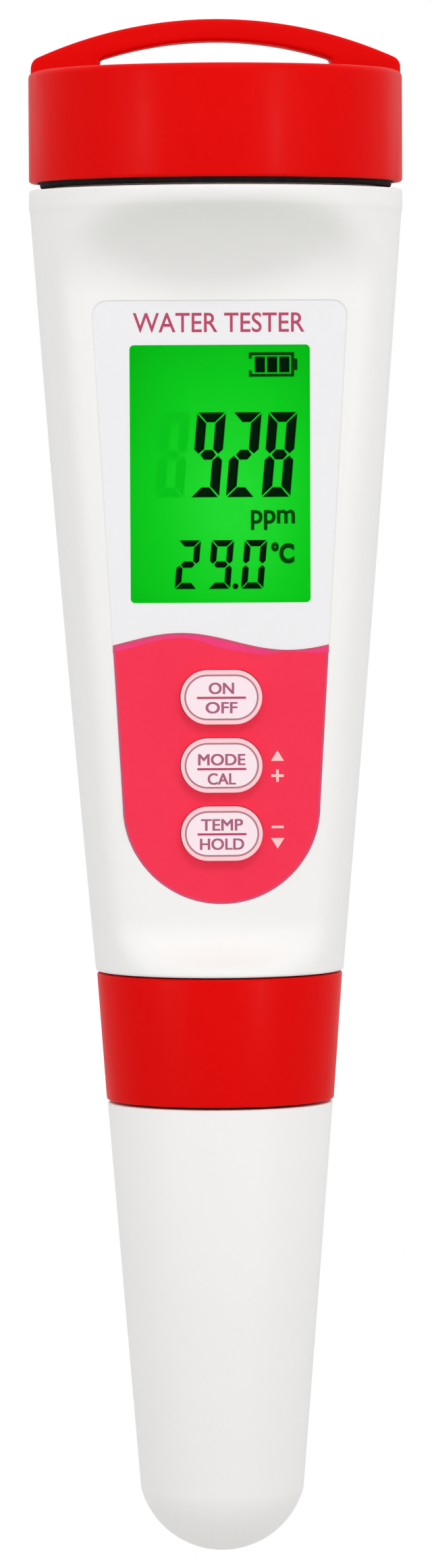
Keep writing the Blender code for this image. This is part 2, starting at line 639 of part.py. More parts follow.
def cap_insert(mats, tip):
    """The contact carrier hangs in the cap on a stud and is keyed to the neck, so it doesn't turn."""
    carrier = prism("contact_carrier", circle(15.8 * MM, 40), 168.9 * MM, 170.4 * MM, mats["black"], tip)
    key_bar = prism("carrier_keys", rounded_rectangle(35.2 * MM, 3.4 * MM, 0.4 * MM), 168.9 * MM, 170.4 * MM,
                    None, tip)
    bore = prism("carrier_bore", circle(2.7 * MM, 20), 168 * MM, 171 * MM, None, tip)
    cut(join(carrier, tool(key_bar)), tool(bore))
    plate = prism("bridge_plate", pill(17.4 * MM, 6 * MM), 168.0 * MM, 168.6 * MM, mats["nickel"], tip,
                  (0, CELL_DEPTH, 0))
    bevel(plate, 0.15 * MM)
    screw = [(0, 167.6 * MM), (2.9 * MM, 167.6 * MM), (3.4 * MM, 168.0 * MM), (3.4 * MM, 168.65 * MM),
             (0.95 * MM, 168.65 * MM), (0.95 * MM, 171.4 * MM), (0, 171.7 * MM)]
    turned("carrier_screw", screw, mats["steel"], tip, 20)


# --- Electrode, collar and sensor cap -----------------------------------------------------------
def probe_socket(mats, tip):
    """The connector in the housing's foot: a flanged disc with four spring pins and a flat cable."""
    profile = [(0, 62.6 * MM), (9.4 * MM, 62.6 * MM), (9.4 * MM, 70.3 * MM), (11.6 * MM, 70.3 * MM),
               (11.6 * MM, 71.8 * MM), (0, 71.8 * MM)]
    socket = turned("probe_socket", profile, mats["black"], tip, 32)
    flat = prism("socket_flat", shifted(rounded_rectangle(30 * MM, 10 * MM, MM, 1), 0, -13.1 * MM),
                 69.8 * MM, 74 * MM, None, tip)
    cut(socket, tool(flat))
    for i in range(4):
        angle = math.radians(45 + 90 * i)
        place = (4.5 * MM * math.cos(angle), 4.5 * MM * math.sin(angle), 0)
        hole = prism(f"pin_hole_{i}", circle(1.2 * MM, 12), 60 * MM, 74 * MM, None, tip, place)
        cut(socket, tool(hole))
        pin = [(0, 61.75 * MM), (0.5 * MM, 62.0 * MM), (0.5 * MM, 64 * MM), (0.9 * MM, 64.2 * MM),
               (0.9 * MM, 71.9 * MM), (0.4 * MM, 72.0 * MM), (0.4 * MM, 73.2 * MM), (0, 73.4 * MM)]
        turned(f"socket_pin_{i + 1}", pin, mats["gold"], tip, 12, place)
    low, high, thick = 73.8 * MM, 84 * MM, 0.35 * MM
    side = [(-4 * MM, low), (4.5 * MM, low), (4.7 * MM, low + 0.6 * MM), (0.9 * MM, high),
            (0.9 * MM - thick, high), (4.1 * MM, low + thick), (-4 * MM, low + thick)]
    mesh = prism_mesh("probe_ribbon", side, -4.6 * MM, 4.6 * MM, "yz")
    add_object("probe_ribbon", mesh, mats["board"], tip)


def locking_collar(mats, tip):
    low_radius = cone_radius(COLLAR_BOTTOM) + COLLAR_STEP / 2
    high_radius = cone_radius(COLLAR_TOP) - COLLAR_STEP
    major = SPIGOT_RADIUS + 1.2 * MM
    profile = [(COLLAR_LIP_RADIUS, COLLAR_BOTTOM), (low_radius - 0.2 * MM, COLLAR_BOTTOM),
               (low_radius, COLLAR_BOTTOM + 0.2 * MM), (high_radius, COLLAR_TOP - 0.2 * MM),
               (high_radius - 0.2 * MM, COLLAR_TOP), (major, COLLAR_TOP), (major, SPIGOT_BOTTOM),
               (12.05 * MM, SPIGOT_BOTTOM - 0.2 * MM), (12.05 * MM, COLLAR_BOTTOM + 1.7 * MM),
               (COLLAR_LIP_RADIUS, COLLAR_BOTTOM + 1.7 * MM)]
    collar = turned("locking_collar", profile, mats["red"], tip)
    ridge = thread_ridge("collar_thread", major + 0.4 * MM, major - 0.85 * MM, 60.6 * MM, 1.4,
                         0.05 + math.pi, tip)
    return join(collar, ridge)


def electrode(mats, tip):
    nose = 21 * MM
    profile = [(0, nose), (5.7 * MM, nose), (5.7 * MM, 27.2 * MM), (7.3 * MM, 27.2 * MM), (8.6 * MM, 46 * MM),
               (10.0 * MM, 47.5 * MM), (10.6 * MM, 48.2 * MM), (10.6 * MM, 49.9 * MM), (9.2 * MM, 49.9 * MM),
               (9.2 * MM, 51.7 * MM), (10.6 * MM, 51.7 * MM), (10.6 * MM, 55.5 * MM), (11.55 * MM, 55.5 * MM),
               (11.55 * MM, 58.1 * MM), (9.4 * MM, 58.1 * MM), (9.4 * MM, 58.9 * MM), (8.2 * MM, 58.9 * MM),
               (8.2 * MM, 60.3 * MM), (9.4 * MM, 60.3 * MM), (9.4 * MM, 60.9 * MM), (9.1 * MM, 61.2 * MM),
               (8.2 * MM, 61.2 * MM), (8.2 * MM, 60.7 * MM), (0, 60.7 * MM)]
    body = turned("electrode_body", profile, mats["black"], tip, 32)
    lug = prism("electrode_key", shifted(rounded_rectangle(2.0 * MM, 2.4 * MM, 0.3 * MM), 0, 9.1 * MM),
                57.9 * MM, 58.85 * MM, None, tip)
    join(body, tool(lug))
    turned("electrode_seal", ring_profile(9.05 * MM, 59.6 * MM, 0.6 * MM), mats["rubber"], tip, 24)
    turned("cap_ring_seal", ring_profile(10.05 * MM, 50.8 * MM, 0.75 * MM), mats["rubber"], tip, 24)
    board = [(0, 60.95 * MM), (7.8 * MM, 60.95 * MM), (7.8 * MM, 61.45 * MM), (0, 61.45 * MM)]
    turned("contact_board", board, mats["board"], tip, 32)
    electrode_guard(mats, tip, nose)
    sensing_tips(mats, tip, nose, body)


def electrode_guard(mats, tip, nose):
    """A slotted tube round the sensing tips, pressed on the electrode's nose."""
    outer, inner, top = 7.2 * MM, 6.0 * MM, 26.9 * MM
    profile = [(inner, ELECTRODE_TIP), (outer - 0.4 * MM, ELECTRODE_TIP), (outer, ELECTRODE_TIP + 0.4 * MM),
               (outer, top), (inner, top)]
    guard = turned("electrode_guard", profile, mats["black"], tip, 32)
    for i in range(2):
        slot = prism(f"guard_slot_{i}", rounded_rectangle(20 * MM, 5 * MM, MM, 2), ELECTRODE_TIP - MM,
                     nose + MM, None, tip)
        slot.rotation_euler = (0, 0, math.radians(90 * i + 45))
        cut(guard, tool(slot))
    return guard


def sensing_tips(mats, tip, nose, body):
    """Each tip starts in a socket of the electrode's nose."""
    tips = (
        ("orp_glass_stem", "clear", (-2.2, 0), 1.6, 14.6, 20),
        ("hydrogen_electrode", "platinum", (2.4, 2.3), 1.1, 15.4, 16),
        ("temperature_pin", "steel", (2.4, -2.3), 1.1, 14.8, 16),
        ("reference_junction", "ceramic", (-1.8, 3.9), 0.9, 18.6, 14),
    )
    for name, material, (x, y), radius, low, sides in tips:
        place = (x * MM, y * MM, 0)
        low, radius, high = low * MM, radius * MM, nose + 3 * MM
        profile = [(0, low), (radius * 0.6, low + radius * 0.15), (radius, low + radius * 0.7),
                   (radius, high), (0, high)]
        turned(name, profile, mats[material], tip, sides, place)
        hole = prism(f"{name}_socket", circle(radius + 0.25 * MM, sides), nose - MM, high + FINE, None, tip,
                     place)
        cut(body, tool(hole))
    band = [(1.75 * MM, 16.4 * MM), (2.05 * MM, 16.4 * MM), (2.05 * MM, 17.6 * MM), (1.75 * MM, 17.6 * MM)]
    turned("platinum_band", band, mats["platinum"], tip, 24, (-2.2 * MM, 0, 0))


def sensor_cap(mats, tip):
    dome = CONE_LOW_RADIUS * 1.036
    start = -math.degrees(math.acos(CONE_LOW_RADIUS / dome))
    outside = arc((0, dome), dome, -90, start, 6)
    outside[0] = (0, 0)
    mouth = cone_radius(SENSOR_CAP_TOP) - 0.06 * MM
    bore_end, inner_low = 46.5 * MM, 10 * MM
    low_radius = cone_radius(inner_low) - SENSOR_CAP_WALL
    inside = arc((0, dome + 0.2 * MM), low_radius, start, -90, 4)
    inside[-1] = (0, inside[-1][1])
    profile = [*outside, (mouth - 0.02 * MM, SENSOR_CAP_TOP - 0.25 * MM), (mouth - 0.25 * MM, SENSOR_CAP_TOP),
               (SENSOR_CAP_BORE, SENSOR_CAP_TOP), (SENSOR_CAP_BORE, bore_end),
               (cone_radius(bore_end) - SENSOR_CAP_WALL, bore_end - 0.6 * MM), (low_radius, inner_low),
               *inside[1:]]
    turned("sensor_cap", profile, mats["white"], tip)
    sponge = [(0, 3.0 * MM), (3.2 * MM, 3.5 * MM), (5.6 * MM, 5.6 * MM), (6.9 * MM, 7.4 * MM),
              (6.9 * MM, 8.0 * MM), (6.5 * MM, 8.4 * MM), (0, 8.4 * MM)]
    turned("storage_sponge", sponge, mats["sponge"], tip, 32)


def main():
    clear_scene()
    mats = make_materials()
    tip = frame("tip", location=(0, 0, -LOOP_CROWN_HEIGHT))
    face = frame("face", tip, (0, -FACE_REFERENCE_DEPTH, FACE_REFERENCE_HEIGHT),
                 math.radians(90) + math.atan(FACE_SLOPE))
    housing_shell(mats, tip, face)
    front_label(mats, face)
    lcd_window(mats, face)
    lcd_stack(mats, face)
    main_board(mats, face)
    keypad(mats, face)
    battery(mats, tip)
    battery_leads(mats, tip)
    top_cap(mats, tip)
    cap_seal(mats, tip)
    cap_insert(mats, tip)
    probe_socket(mats, tip)
    locking_collar(mats, tip)
    electrode(mats, tip)
    sensor_cap(mats, tip)


main()
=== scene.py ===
"""Looks of a pen-type digital water tester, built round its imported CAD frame.

Shapes repeat the CAD's dimensions with finer surfaces. Heights are millimetres above the tip of the
sensor cap, and (u, v) are millimetres across and up the leaning display face.
"""

import math

import bmesh
import bpy
import numpy as np
from mathutils import Matrix, Vector


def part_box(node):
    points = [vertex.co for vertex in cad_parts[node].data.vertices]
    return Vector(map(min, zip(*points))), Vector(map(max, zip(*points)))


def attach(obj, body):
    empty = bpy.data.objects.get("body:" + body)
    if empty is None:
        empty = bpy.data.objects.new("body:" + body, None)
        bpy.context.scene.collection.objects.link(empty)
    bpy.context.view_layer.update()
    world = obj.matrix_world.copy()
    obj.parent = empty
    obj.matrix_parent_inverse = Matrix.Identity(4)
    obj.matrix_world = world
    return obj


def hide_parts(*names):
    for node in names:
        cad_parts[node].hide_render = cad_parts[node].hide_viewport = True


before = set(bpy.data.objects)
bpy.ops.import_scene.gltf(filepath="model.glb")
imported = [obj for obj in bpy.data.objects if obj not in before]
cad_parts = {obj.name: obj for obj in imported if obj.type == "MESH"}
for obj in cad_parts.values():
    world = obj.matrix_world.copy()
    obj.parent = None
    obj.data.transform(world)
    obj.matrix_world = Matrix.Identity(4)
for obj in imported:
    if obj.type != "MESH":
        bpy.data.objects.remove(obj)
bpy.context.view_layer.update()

MM = 0.001
TIP_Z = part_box("sensor_cap")[0].z
TO_ROW = Matrix.Translation((0, 0, TIP_Z)) @ Matrix.Scale(MM, 4)

# --- Dimensions in millimetres, as in the CAD
CAP_RADIUS, CAP_BOTTOM, CAP_RIM, CAP_ROOF = 21.9, 161.2, 174.2, 173.1
TOP, CROWN, LOOP_HALF_DEPTH = 180.2, 177.7, 3
CONE_LOW, CONE_HIGH = (7.34, 9.6), (157.3, 21.75)  # (height, radius)
HOUSING_BOTTOM, HOUSING_TOP, HOUSING_WALL, HOUSING_BOW = 68.7, 160.3, 2.2, 0.2
SPIGOT_BOTTOM, SPIGOT_RADIUS, SPIGOT_BORE = 58.4, 11.4, 9.8
NECK_TOP, NECK_RADIUS, NECK_BORE, LIP = 170.6, 18.9, 17.2, 2.4
FACE_HEIGHT, FACE_DEPTH, FACE_SLOPE = 100.0, 10.27, 0.0286
FACE_BOTTOM, FACE_TOP, SCOOP_TOP, SCOOP_BOTTOM, FACE_WALL = 74.9, 147.6, 10.3, 4.6, 1.8
THREAD_LEAD, THREAD_ROOT, THREAD_CREST = 4.0, 2.0, 1.1
NECK_THREAD = {"start": 164.6, "turns": 1.1, "depth": 1.05}
SPIGOT_THREAD = {"start": 60.6, "turns": 1.4, "depth": 0.85}
LABEL_TOP, LABEL_HALF, LABEL_END_RADIUS, LABEL_END = 147.2, 14.75, 11.5, 88.5
LABEL_CORNER, LABEL_POCKET = 1.7, 0.55
WINDOW_WIDTH, WINDOW_HEIGHT, WINDOW_CENTRE = 20.9, 29.9, 127.1
KEYS = {"on_off": ("ON", "OFF"), "mode_cal": ("MODE", "CAL"), "temp_hold": ("TEMP", "HOLD")}
KEY_TOP, KEY_PITCH, KEY_WIDTH, KEY_HEIGHT, KEY_PROUD, KEY_GAP = 101.2, 7.95, 9.5, 6.3, 0.95, 0.2
COLLAR_BOTTOM, COLLAR_TOP, COLLAR_LIP = 53.5, 68.5, 10.95
SENSOR_CAP_TOP, SENSOR_CAP_BORE, SENSOR_CAP_WALL = 53.2, 11.0, 1.9
ELECTRODE_TIP, NOSE = 13.0, 21.0

# --- Finer dimensions, for the looks only
SHARP_ANGLE = 35  # degrees; sharper edges aren't shaded smooth
FILLET = 2.2  # blends the display face into the housing's round side
EDGE_ROUND = 0.3  # on the housing's two rims
THREAD_PHASE = 0.05  # radians from the X axis to where the outside threads start
FILM_MARGIN = 0.02  # past the film's pocket, and clear of the window
FILM_GAP = 0.07  # between the film and a key
LABEL_LEVEL = -0.05  # the film's surface, behind the display face
DISPLAY_LEVEL = -2.4  # the lit glass, behind the display face
INK = 0.02  # thickness of most printed layers
SKY_LOW, SKY_HIGH = 0.8, 0.76

FACE = TO_ROW @ Matrix.Translation((0, -FACE_DEPTH, FACE_HEIGHT)) @ Matrix.Rotation(
    math.radians(90) + math.atan(FACE_SLOPE), 4, "X")


# --- Outlines
def arc(centre, radius, start, end, steps):
    angles = [math.radians(start + (end - start) * i / steps) for i in range(steps + 1)]
    return [(centre[0] + radius * math.cos(a), centre[1] + radius * math.sin(a)) for a in angles]


def circle(radius, sides):
    return arc((0, 0), radius, 0, 360 * (1 - 1 / sides), sides - 1)


def rounded_rectangle(width, height, radius):
    x, y = width / 2 - radius, height / 2 - radius
    corners = ((x, y, 0), (-x, y, 90), (-x, -y, 180), (x, -y, 270))
    return [p for cx, cy, a in corners for p in arc((cx, cy), radius, a, a + 90, 6)]


def pill(width, height):
    end = width / 2 - height / 2
    return arc((end, 0), height / 2, -90, 90, 24) + arc((-end, 0), height / 2, 90, 270, 24)


def bar(half_width, half_height):
    return [(-half_width, -half_height), (half_width, -half_height), (half_width, half_height),
            (-half_width, half_height)]


def shifted(outline, dx, dy):
    return [(x + dx, y + dy) for x, y in outline]


def softened(points, reach, steps=3):
    """An outline whose corners are rounded, apart from those on the axis and shallow ones."""
    soft = []
    for i, here in enumerate(points):
        p = Vector(here)
        a, b = Vector(points[i - 1]) - p, Vector(points[(i + 1) % len(points)]) - p
        size = min(reach, a.length * 0.45, b.length * 0.45)
        if p.x < 1e-6 or size < 1e-4 or a.normalized().dot(b.normalized()) < -0.94:
            soft.append(tuple(p))
            continue
        start, end = p + a.normalized() * size, p + b.normalized() * size
        for k in range(steps + 1):
            t = k / steps
            soft.append(tuple(start * (1 - t) ** 2 + p * 2 * t * (1 - t) + end * t ** 2))
    return soft


def ring_section(inner, outer, low, high, edge, steps=3):
    return softened([(inner, low), (outer, low), (outer, high), (inner, high)], edge, steps)


def cone(height):
    share = (height - CONE_LOW[0]) / (CONE_HIGH[0] - CONE_LOW[0])
    return CONE_LOW[1] + (CONE_HIGH[1] - CONE_LOW[1]) * share


def housing_radius(height):
    share = (height - HOUSING_BOTTOM) / (CONE_HIGH[0] - HOUSING_BOTTOM)
    return cone(height) + HOUSING_BOW * math.sin(math.pi * share)


def face_depth(height):
    return FACE_DEPTH + FACE_SLOPE * (height - FACE_HEIGHT)


def on_face(height):
    return (height - FACE_HEIGHT) * math.hypot(1, FACE_SLOPE)


# --- Meshes
def placed(name, data):
    made = bpy.data.objects.new(name, data)
    bpy.context.scene.collection.objects.link(made)
    return made


def evaluated(made):
    """Its mesh, with the modifiers applied."""
    graph = bpy.context.evaluated_depsgraph_get()
    return bpy.data.meshes.new_from_object(made.evaluated_get(graph))


def finish_mesh(name, bm, matrix, sharp=SHARP_ANGLE):
    bmesh.ops.recalc_face_normals(bm, faces=bm.faces)
    mesh = bpy.data.meshes.new(name)
    bm.to_mesh(mesh)
    bm.free()
    mesh.transform(matrix)
    mesh.shade_smooth()
    mesh.set_sharp_from_angle(angle=math.radians(sharp))
    return placed(name, mesh)


def bridge(bm, low, high):
    """Faces between two rings; where points are shared, triangles or nothing."""
    for i in range(len(low)):
        j = (i + 1) % len(low)
        corners = list(dict.fromkeys((low[i], low[j], high[j], high[i])))
        if len(corners) > 2:
            bm.faces.new(corners)


def prism(name, outline, low, high, matrix=TO_ROW, place=(0, 0), edge=0.0, steps=2):
    """An outline raised between two levels, with its upper edge rounded by edge."""
    bm = bmesh.new()
    rings = [[bm.verts.new((x + place[0], y + place[1], level)) for x, y in outline]
             for level in (low, high)]
    caps = [bm.faces.new(rings[0]), bm.faces.new(rings[1])]
    bridge(bm, *rings)
    if edge:
        bmesh.ops.bevel(bm, geom=list(caps[1].edges), offset=edge, segments=steps, affect="EDGES",
                        profile=0.5, clamp_overlap=True)
    return finish_mesh(name, bm, matrix)


def turned(name, profile, sides, place=(0, 0)):
    """A closed (radius, height) profile turned round an upright axis at place."""
    bm = bmesh.new()
    rings = []
    for radius, height in profile:
        if radius < 1e-6:
            rings.append([bm.verts.new((place[0], place[1], height))] * sides)
            continue
        rings.append([bm.verts.new((x + place[0], y + place[1], height)) for x, y in circle(radius, sides)])
    for low, high in zip(rings, rings[1:] + rings[:1]):
        bridge(bm, low, high)
    return finish_mesh(name, bm, TO_ROW)


def lofted(name, sections, matrix=TO_ROW, sharp=SHARP_ANGLE):
    """A skin over rings of as many points, closed at both ends."""
    bm = bmesh.new()
    rings = [[bm.verts.new(p) for p in section] for section in sections]
    for low, high in zip(rings, rings[1:]):
        bridge(bm, low, high)
    bm.faces.new(rings[0])
    bm.faces.new(rings[-1])
    return finish_mesh(name, bm, matrix, sharp)


def thread_ridge(root, start, turns, depth, inside=False):
    """A right-handed helical ridge whose crest is rounded off and whose ends fade.

    One inside a bore points inwards, and starts half a turn on.
    """
    phase = THREAD_PHASE + (math.pi if inside else 0)
    crest = root + (-depth if inside else depth)
    detail = 64
    steps, fade = round(detail * turns), detail // 8
    buried, shoulder, slant, rounding = 0.4, 0.85, 0.08, 0.15
    deep = root + (buried if crest < root else -buried)
    flank, flat = THREAD_CREST / 2 + slant, THREAD_CREST / 2 - rounding
    sections = []
    for i in range(steps + 1):
        angle = phase + 2 * math.pi * turns * i / steps
        height = start + THREAD_LEAD * turns * i / steps
        share = min(1, (i + 1) / fade, (steps - i + 1) / fade) ** 0.5
        top = root + (crest - root) * share
        low = root + (crest - root) * share * shoulder
        corners = ((deep, -THREAD_ROOT / 2), (low, -flank), (top, -flat),
                   (top, flat), (low, flank), (deep, THREAD_ROOT / 2))
        sections.append([(r * math.cos(angle), r * math.sin(angle), height + dz) for r, dz in corners])
    return lofted("thread_ridge", sections)


def combine(target, operation, *helpers):
    """Applies Booleans at once, and removes the helpers."""
    for helper in helpers:
        modifier = target.modifiers.new("boolean", "BOOLEAN")
        modifier.operation = operation
        modifier.object = helper
        modifier.solver = "EXACT"
    mesh = evaluated(target)
    target.modifiers.clear()
    target.data = mesh
    for helper in helpers:
        bpy.data.objects.remove(helper)
    mesh.shade_smooth()
    mesh.set_sharp_from_angle(angle=math.radians(SHARP_ANGLE))
    return target


def cut(target, *helpers):
    return combine(target, "DIFFERENCE", *helpers)


def join(target, *helpers):
    return combine(target, "UNION", *helpers)


def merged(name, objects):
    """Loose shapes of one printed layer, as one object."""
    bm = bmesh.new()
    for made in objects:
        bm.from_mesh(made.data)
        bpy.data.objects.remove(made)
    return finish_mesh(name, bm, Matrix.Identity(4))


def show(piece, body, material, slot, *nodes):
    """Sets a piece's material and body, and hides the CAD nodes that it stands for; slot is not used."""
    piece.data.materials.clear()
    piece.data.materials.append(material)
    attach(piece, body)
    if nodes:
        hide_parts(*nodes)
    return piece


# --- Materials
MIX_FACTOR, MIX_FIRST, MIX_SECOND, MIX_RESULT = 0, 6, 7, 2  # sockets of a Mix node set to colours


def linear(r, g, b):
    """A colour of 0 to 255 as the linear one that nodes take."""
    return [((c / 255 + 0.055) / 1.055) ** 2.4 if c > 10 else c / 255 / 12.92 for c in (r, g, b)]


class Surface:
    """A node material put together step by step, in the piece's own coordinates."""

    def __init__(self, name, colour, roughness=0.4, metallic=0.0, specular=0.5):
        self.material = bpy.data.materials.new(name)
        self.material.use_nodes = True
        self.tree = self.material.node_tree
        self.shader = self.tree.nodes["Principled BSDF"]
        self.set(Base_Color=(*colour, 1), Roughness=roughness, Metallic=metallic, Specular_IOR_Level=specular)
        self.material.diffuse_color = (*colour, 1)
        self.colour = colour
        self.place = self.add("ShaderNodeTexCoord").outputs["Object"]
        self.base = None
        self.normal = None

    def add(self, kind, **values):
        node = self.tree.nodes.new(kind)
        for key, value in values.items():
            if hasattr(node, key):
                setattr(node, key, value)
            else:
                node.inputs[key.replace("_", " ")].default_value = value
        return node

    def link(self, start, end):
        self.tree.links.new(start, end)

    def noise(self, scale, detail=3.0, stretch=(1, 1, 1)):
        mapping = self.add("ShaderNodeMapping", Scale=stretch)
        self.link(self.place, mapping.inputs["Vector"])
        node = self.add("ShaderNodeTexNoise", Scale=scale, Detail=detail)
        self.link(mapping.outputs["Vector"], node.inputs["Vector"])
        return node.outputs["Fac"]

    def ramp(self, value, low, high, start, end):
        """Maps low to high onto start to end, and holds it there beyond them."""
        node = self.add("ShaderNodeMapRange", From_Min=low, From_Max=high, To_Min=start, To_Max=end)
        node.clamp = True
        self.link(value, node.inputs["Value"])
        return node.outputs["Result"]

    def tint(self, factor, colour):
        """Mixes another colour in, where factor is high."""
        node = self.add("ShaderNodeMix", data_type="RGBA")
        if self.base is None:
            node.inputs[MIX_FIRST].default_value = (*self.colour, 1)
        else:
            self.link(self.base, node.inputs[MIX_FIRST])
        node.inputs[MIX_SECOND].default_value = (*colour, 1)
        self.link(factor, node.inputs[MIX_FACTOR])
        self.base = node.outputs[MIX_RESULT]
        self.link(self.base, self.shader.inputs["Base Color"])
        return self

    def cloud(self, scale, share, colour):
        """Soft patches of another colour, as strong as share."""
        return self.tint(self.ramp(self.noise(scale, 4), 0.35, 0.7, 0, share), colour)

    def worn(self, share, colour):
        """Lightens the outer edges, where handling polishes them."""
        edges = self.add("ShaderNodeNewGeometry").outputs["Pointiness"]
        broken = self.add("ShaderNodeMath", operation="MULTIPLY")
        self.link(self.ramp(edges, 0.52, 0.6, 0, share), broken.inputs[0])
        self.link(self.ramp(self.noise(900, 3), 0.3, 0.6, 0.3, 1), broken.inputs[1])
        return self.tint(broken.outputs[0], colour)

    def polish(self, scale, low, high, stretch=(1, 1, 1)):
        """Roughness that wanders between low and high."""
        wander = self.ramp(self.noise(scale, 4, stretch), 0.3, 0.7, low, high)
        self.link(wander, self.shader.inputs["Roughness"])
        return self

    def rounded(self, radius):
        """Edges shade as if rounded to this radius, in millimetres."""
        node = self.add("ShaderNodeBevel", samples=6, Radius=radius * MM)
        self.normal = node.outputs["Normal"]
        self.link(self.normal, self.shader.inputs["Normal"])
        return self

    def grain(self, scale, depth, stretch=(1, 1, 1), detail=2.0, voronoi=False):
        """Bump of this depth in millimetres."""
        if voronoi:
            node = self.add("ShaderNodeTexVoronoi", Scale=scale)
            self.link(self.place, node.inputs["Vector"])
            height = node.outputs["Distance"]
        else:
            height = self.noise(scale, detail, stretch)
        bump = self.add("ShaderNodeBump", Strength=1.0, Distance=depth * MM)
        self.link(height, bump.inputs["Height"])
        if self.normal is not None:
            self.link(self.normal, bump.inputs["Normal"])
        self.normal = bump.outputs["Normal"]
        self.link(self.normal, self.shader.inputs["Normal"])
        return self

    def stipple(self):
        """The fine texture of the film and of the inks."""
        return self.grain(5200, 0.003, voronoi=True)

    def copper_runs(self):
        """Lighter runs of copper under solder mask, and darker patches."""
        brick = self.add("ShaderNodeTexBrick", Scale=260.0, Mortar_Size=0.012, Brick_Width=1.3,
                         Row_Height=0.28)
        self.link(self.place, brick.inputs["Vector"])
        self.tint(self.ramp(brick.outputs["Fac"], 0, 1, 0, 0.8), (0.03, 0.32, 0.11))
        return self.cloud(150, 0.3, (0.008, 0.1, 0.04))

    def copper_band(self):
        """A copper-coloured band round the upper end of a dark cell wrapper."""
        band_low, band_full = -0.0235, -0.0233
        split = self.add("ShaderNodeSeparateXYZ")
        self.link(self.place, split.inputs[0])
        self.tint(self.ramp(split.outputs["Z"], band_low, band_full, 0, 0.9), (0.5, 0.2, 0.07))
        return self.cloud(90, 0.3, (0.02, 0.03, 0.06))

    def set(self, **values):
        for key, value in values.items():
            self.shader.inputs[key.replace("_", " ")].default_value = value
        return self


def plastics():
    """Moulded parts and wire jackets, with faint mottling and a fine grain."""
    return {
        "white": Surface("white_abs", linear(242, 241, 239), 0.42, specular=0.14)
        .cloud(45, 0.25, linear(236, 235, 234)).cloud(700, 0.12, linear(246, 245, 243))
        .polish(260, 0.36, 0.5, (1, 1, 0.3)).rounded(0.18).grain(2600, 0.006, detail=3),
        "red": Surface("red_abs", linear(225, 9, 7), 0.36, specular=0.03)
        .cloud(60, 0.4, linear(217, 9, 8)).cloud(900, 0.15, linear(233, 15, 11))
        .polish(300, 0.3, 0.44, (1, 1, 0.25)).rounded(0.22).grain(2800, 0.007, detail=3),
        "key": Surface("key_rubber", linear(255, 206, 212), 0.5, specular=0.2)
        .cloud(300, 0.3, linear(252, 196, 204)).polish(700, 0.44, 0.58).rounded(0.12)
        .grain(3600, 0.005),
        "black": Surface("black_abs", (0.012, 0.012, 0.013), 0.48, specular=0.3)
        .cloud(120, 0.5, (0.02, 0.02, 0.022)).worn(0.4, (0.07, 0.07, 0.07)).polish(300, 0.4, 0.6)
        .rounded(0.12).grain(3000, 0.008),
        "rubber": Surface("black_rubber", (0.01, 0.007, 0.007), 0.75, specular=0.15)
        .cloud(300, 0.5, (0.02, 0.014, 0.014)).polish(800, 0.65, 0.85).grain(4200, 0.01),
        "red_wire": Surface("red_wire_jacket", (0.5, 0.012, 0.012), 0.45)
        .cloud(500, 0.4, (0.4, 0.01, 0.01)).grain(2500, 0.01),
        "black_wire": Surface("black_wire_jacket", (0.02, 0.02, 0.02), 0.5)
        .cloud(500, 0.4, (0.04, 0.04, 0.04)).grain(2500, 0.01),
    }


def label_prints():
    """The overlay film, the inks on it, and the prints on the keys."""
    made = {
        "film": Surface("overlay_film", linear(238, 237, 239), 0.34, specular=0.3)
        .cloud(40, 0.2, linear(232, 231, 235)).polish(400, 0.3, 0.42).rounded(0.08).stipple(),
        "pink": Surface("pink_print", linear(246, 50, 80), 0.35, specular=0.15)
        .cloud(110, 0.35, linear(238, 40, 72)).cloud(1400, 0.12, linear(250, 66, 100))
        .polish(400, 0.3, 0.44).stipple(),
        "magenta": Surface("magenta_print", linear(240, 62, 122), 0.35, specular=0.15)
        .cloud(300, 0.3, linear(228, 48, 116)).polish(400, 0.3, 0.44).stipple(),
        "key_face": Surface("key_face_print", linear(250, 232, 238), 0.45, specular=0.2)
        .cloud(500, 0.25, linear(246, 222, 229)).grain(3600, 0.005),
    }
    # name: (ink, mottling, share of the mottling, its scale, roughness)
    inks = {
        "contour_print": ((204, 78, 112), (212, 88, 122), 0.4, 700, 0.4),
        "crimson_ink": ((184, 66, 100), (196, 84, 118), 0.35, 900, 0.4),
        "mauve_ink": ((170, 92, 122), (182, 106, 134), 0.3, 900, 0.45),
        "outline_ink": ((176, 118, 130), (188, 134, 144), 0.3, 900, 0.45),
        "cream_ink": ((253, 205, 202), (248, 186, 188), 0.25, 900, 0.4),
    }
    for name, (ink, mottling, share, scale, roughness) in inks.items():
        surface = Surface(name, linear(*ink), roughness, specular=0.15)
        made[name.split("_")[0]] = surface.cloud(scale, share, linear(*mottling)).stipple()
    return made


def metals():
    return {
        "steel": Surface("stainless_steel", (0.62, 0.62, 0.63), 0.25, 1)
        .cloud(400, 0.3, (0.5, 0.5, 0.52)).polish(900, 0.18, 0.38, (1, 1, 0.1)).rounded(0.08)
        .grain(3000, 0.003, (1, 1, 0.08)),
        "nickel": Surface("nickel_plate", (0.7, 0.66, 0.58), 0.28, 1)
        .cloud(300, 0.4, (0.6, 0.55, 0.47)).polish(700, 0.2, 0.4).rounded(0.08).grain(2600, 0.004),
        "gold": Surface("gold_plate", (0.86, 0.58, 0.2), 0.22, 1)
        .cloud(600, 0.3, (0.75, 0.48, 0.15)).polish(900, 0.16, 0.34).grain(3000, 0.003),
        "platinum": Surface("platinum", (0.72, 0.71, 0.69), 0.16, 1)
        .cloud(700, 0.3, (0.6, 0.59, 0.58)).polish(1100, 0.1, 0.28).grain(4000, 0.002),
    }


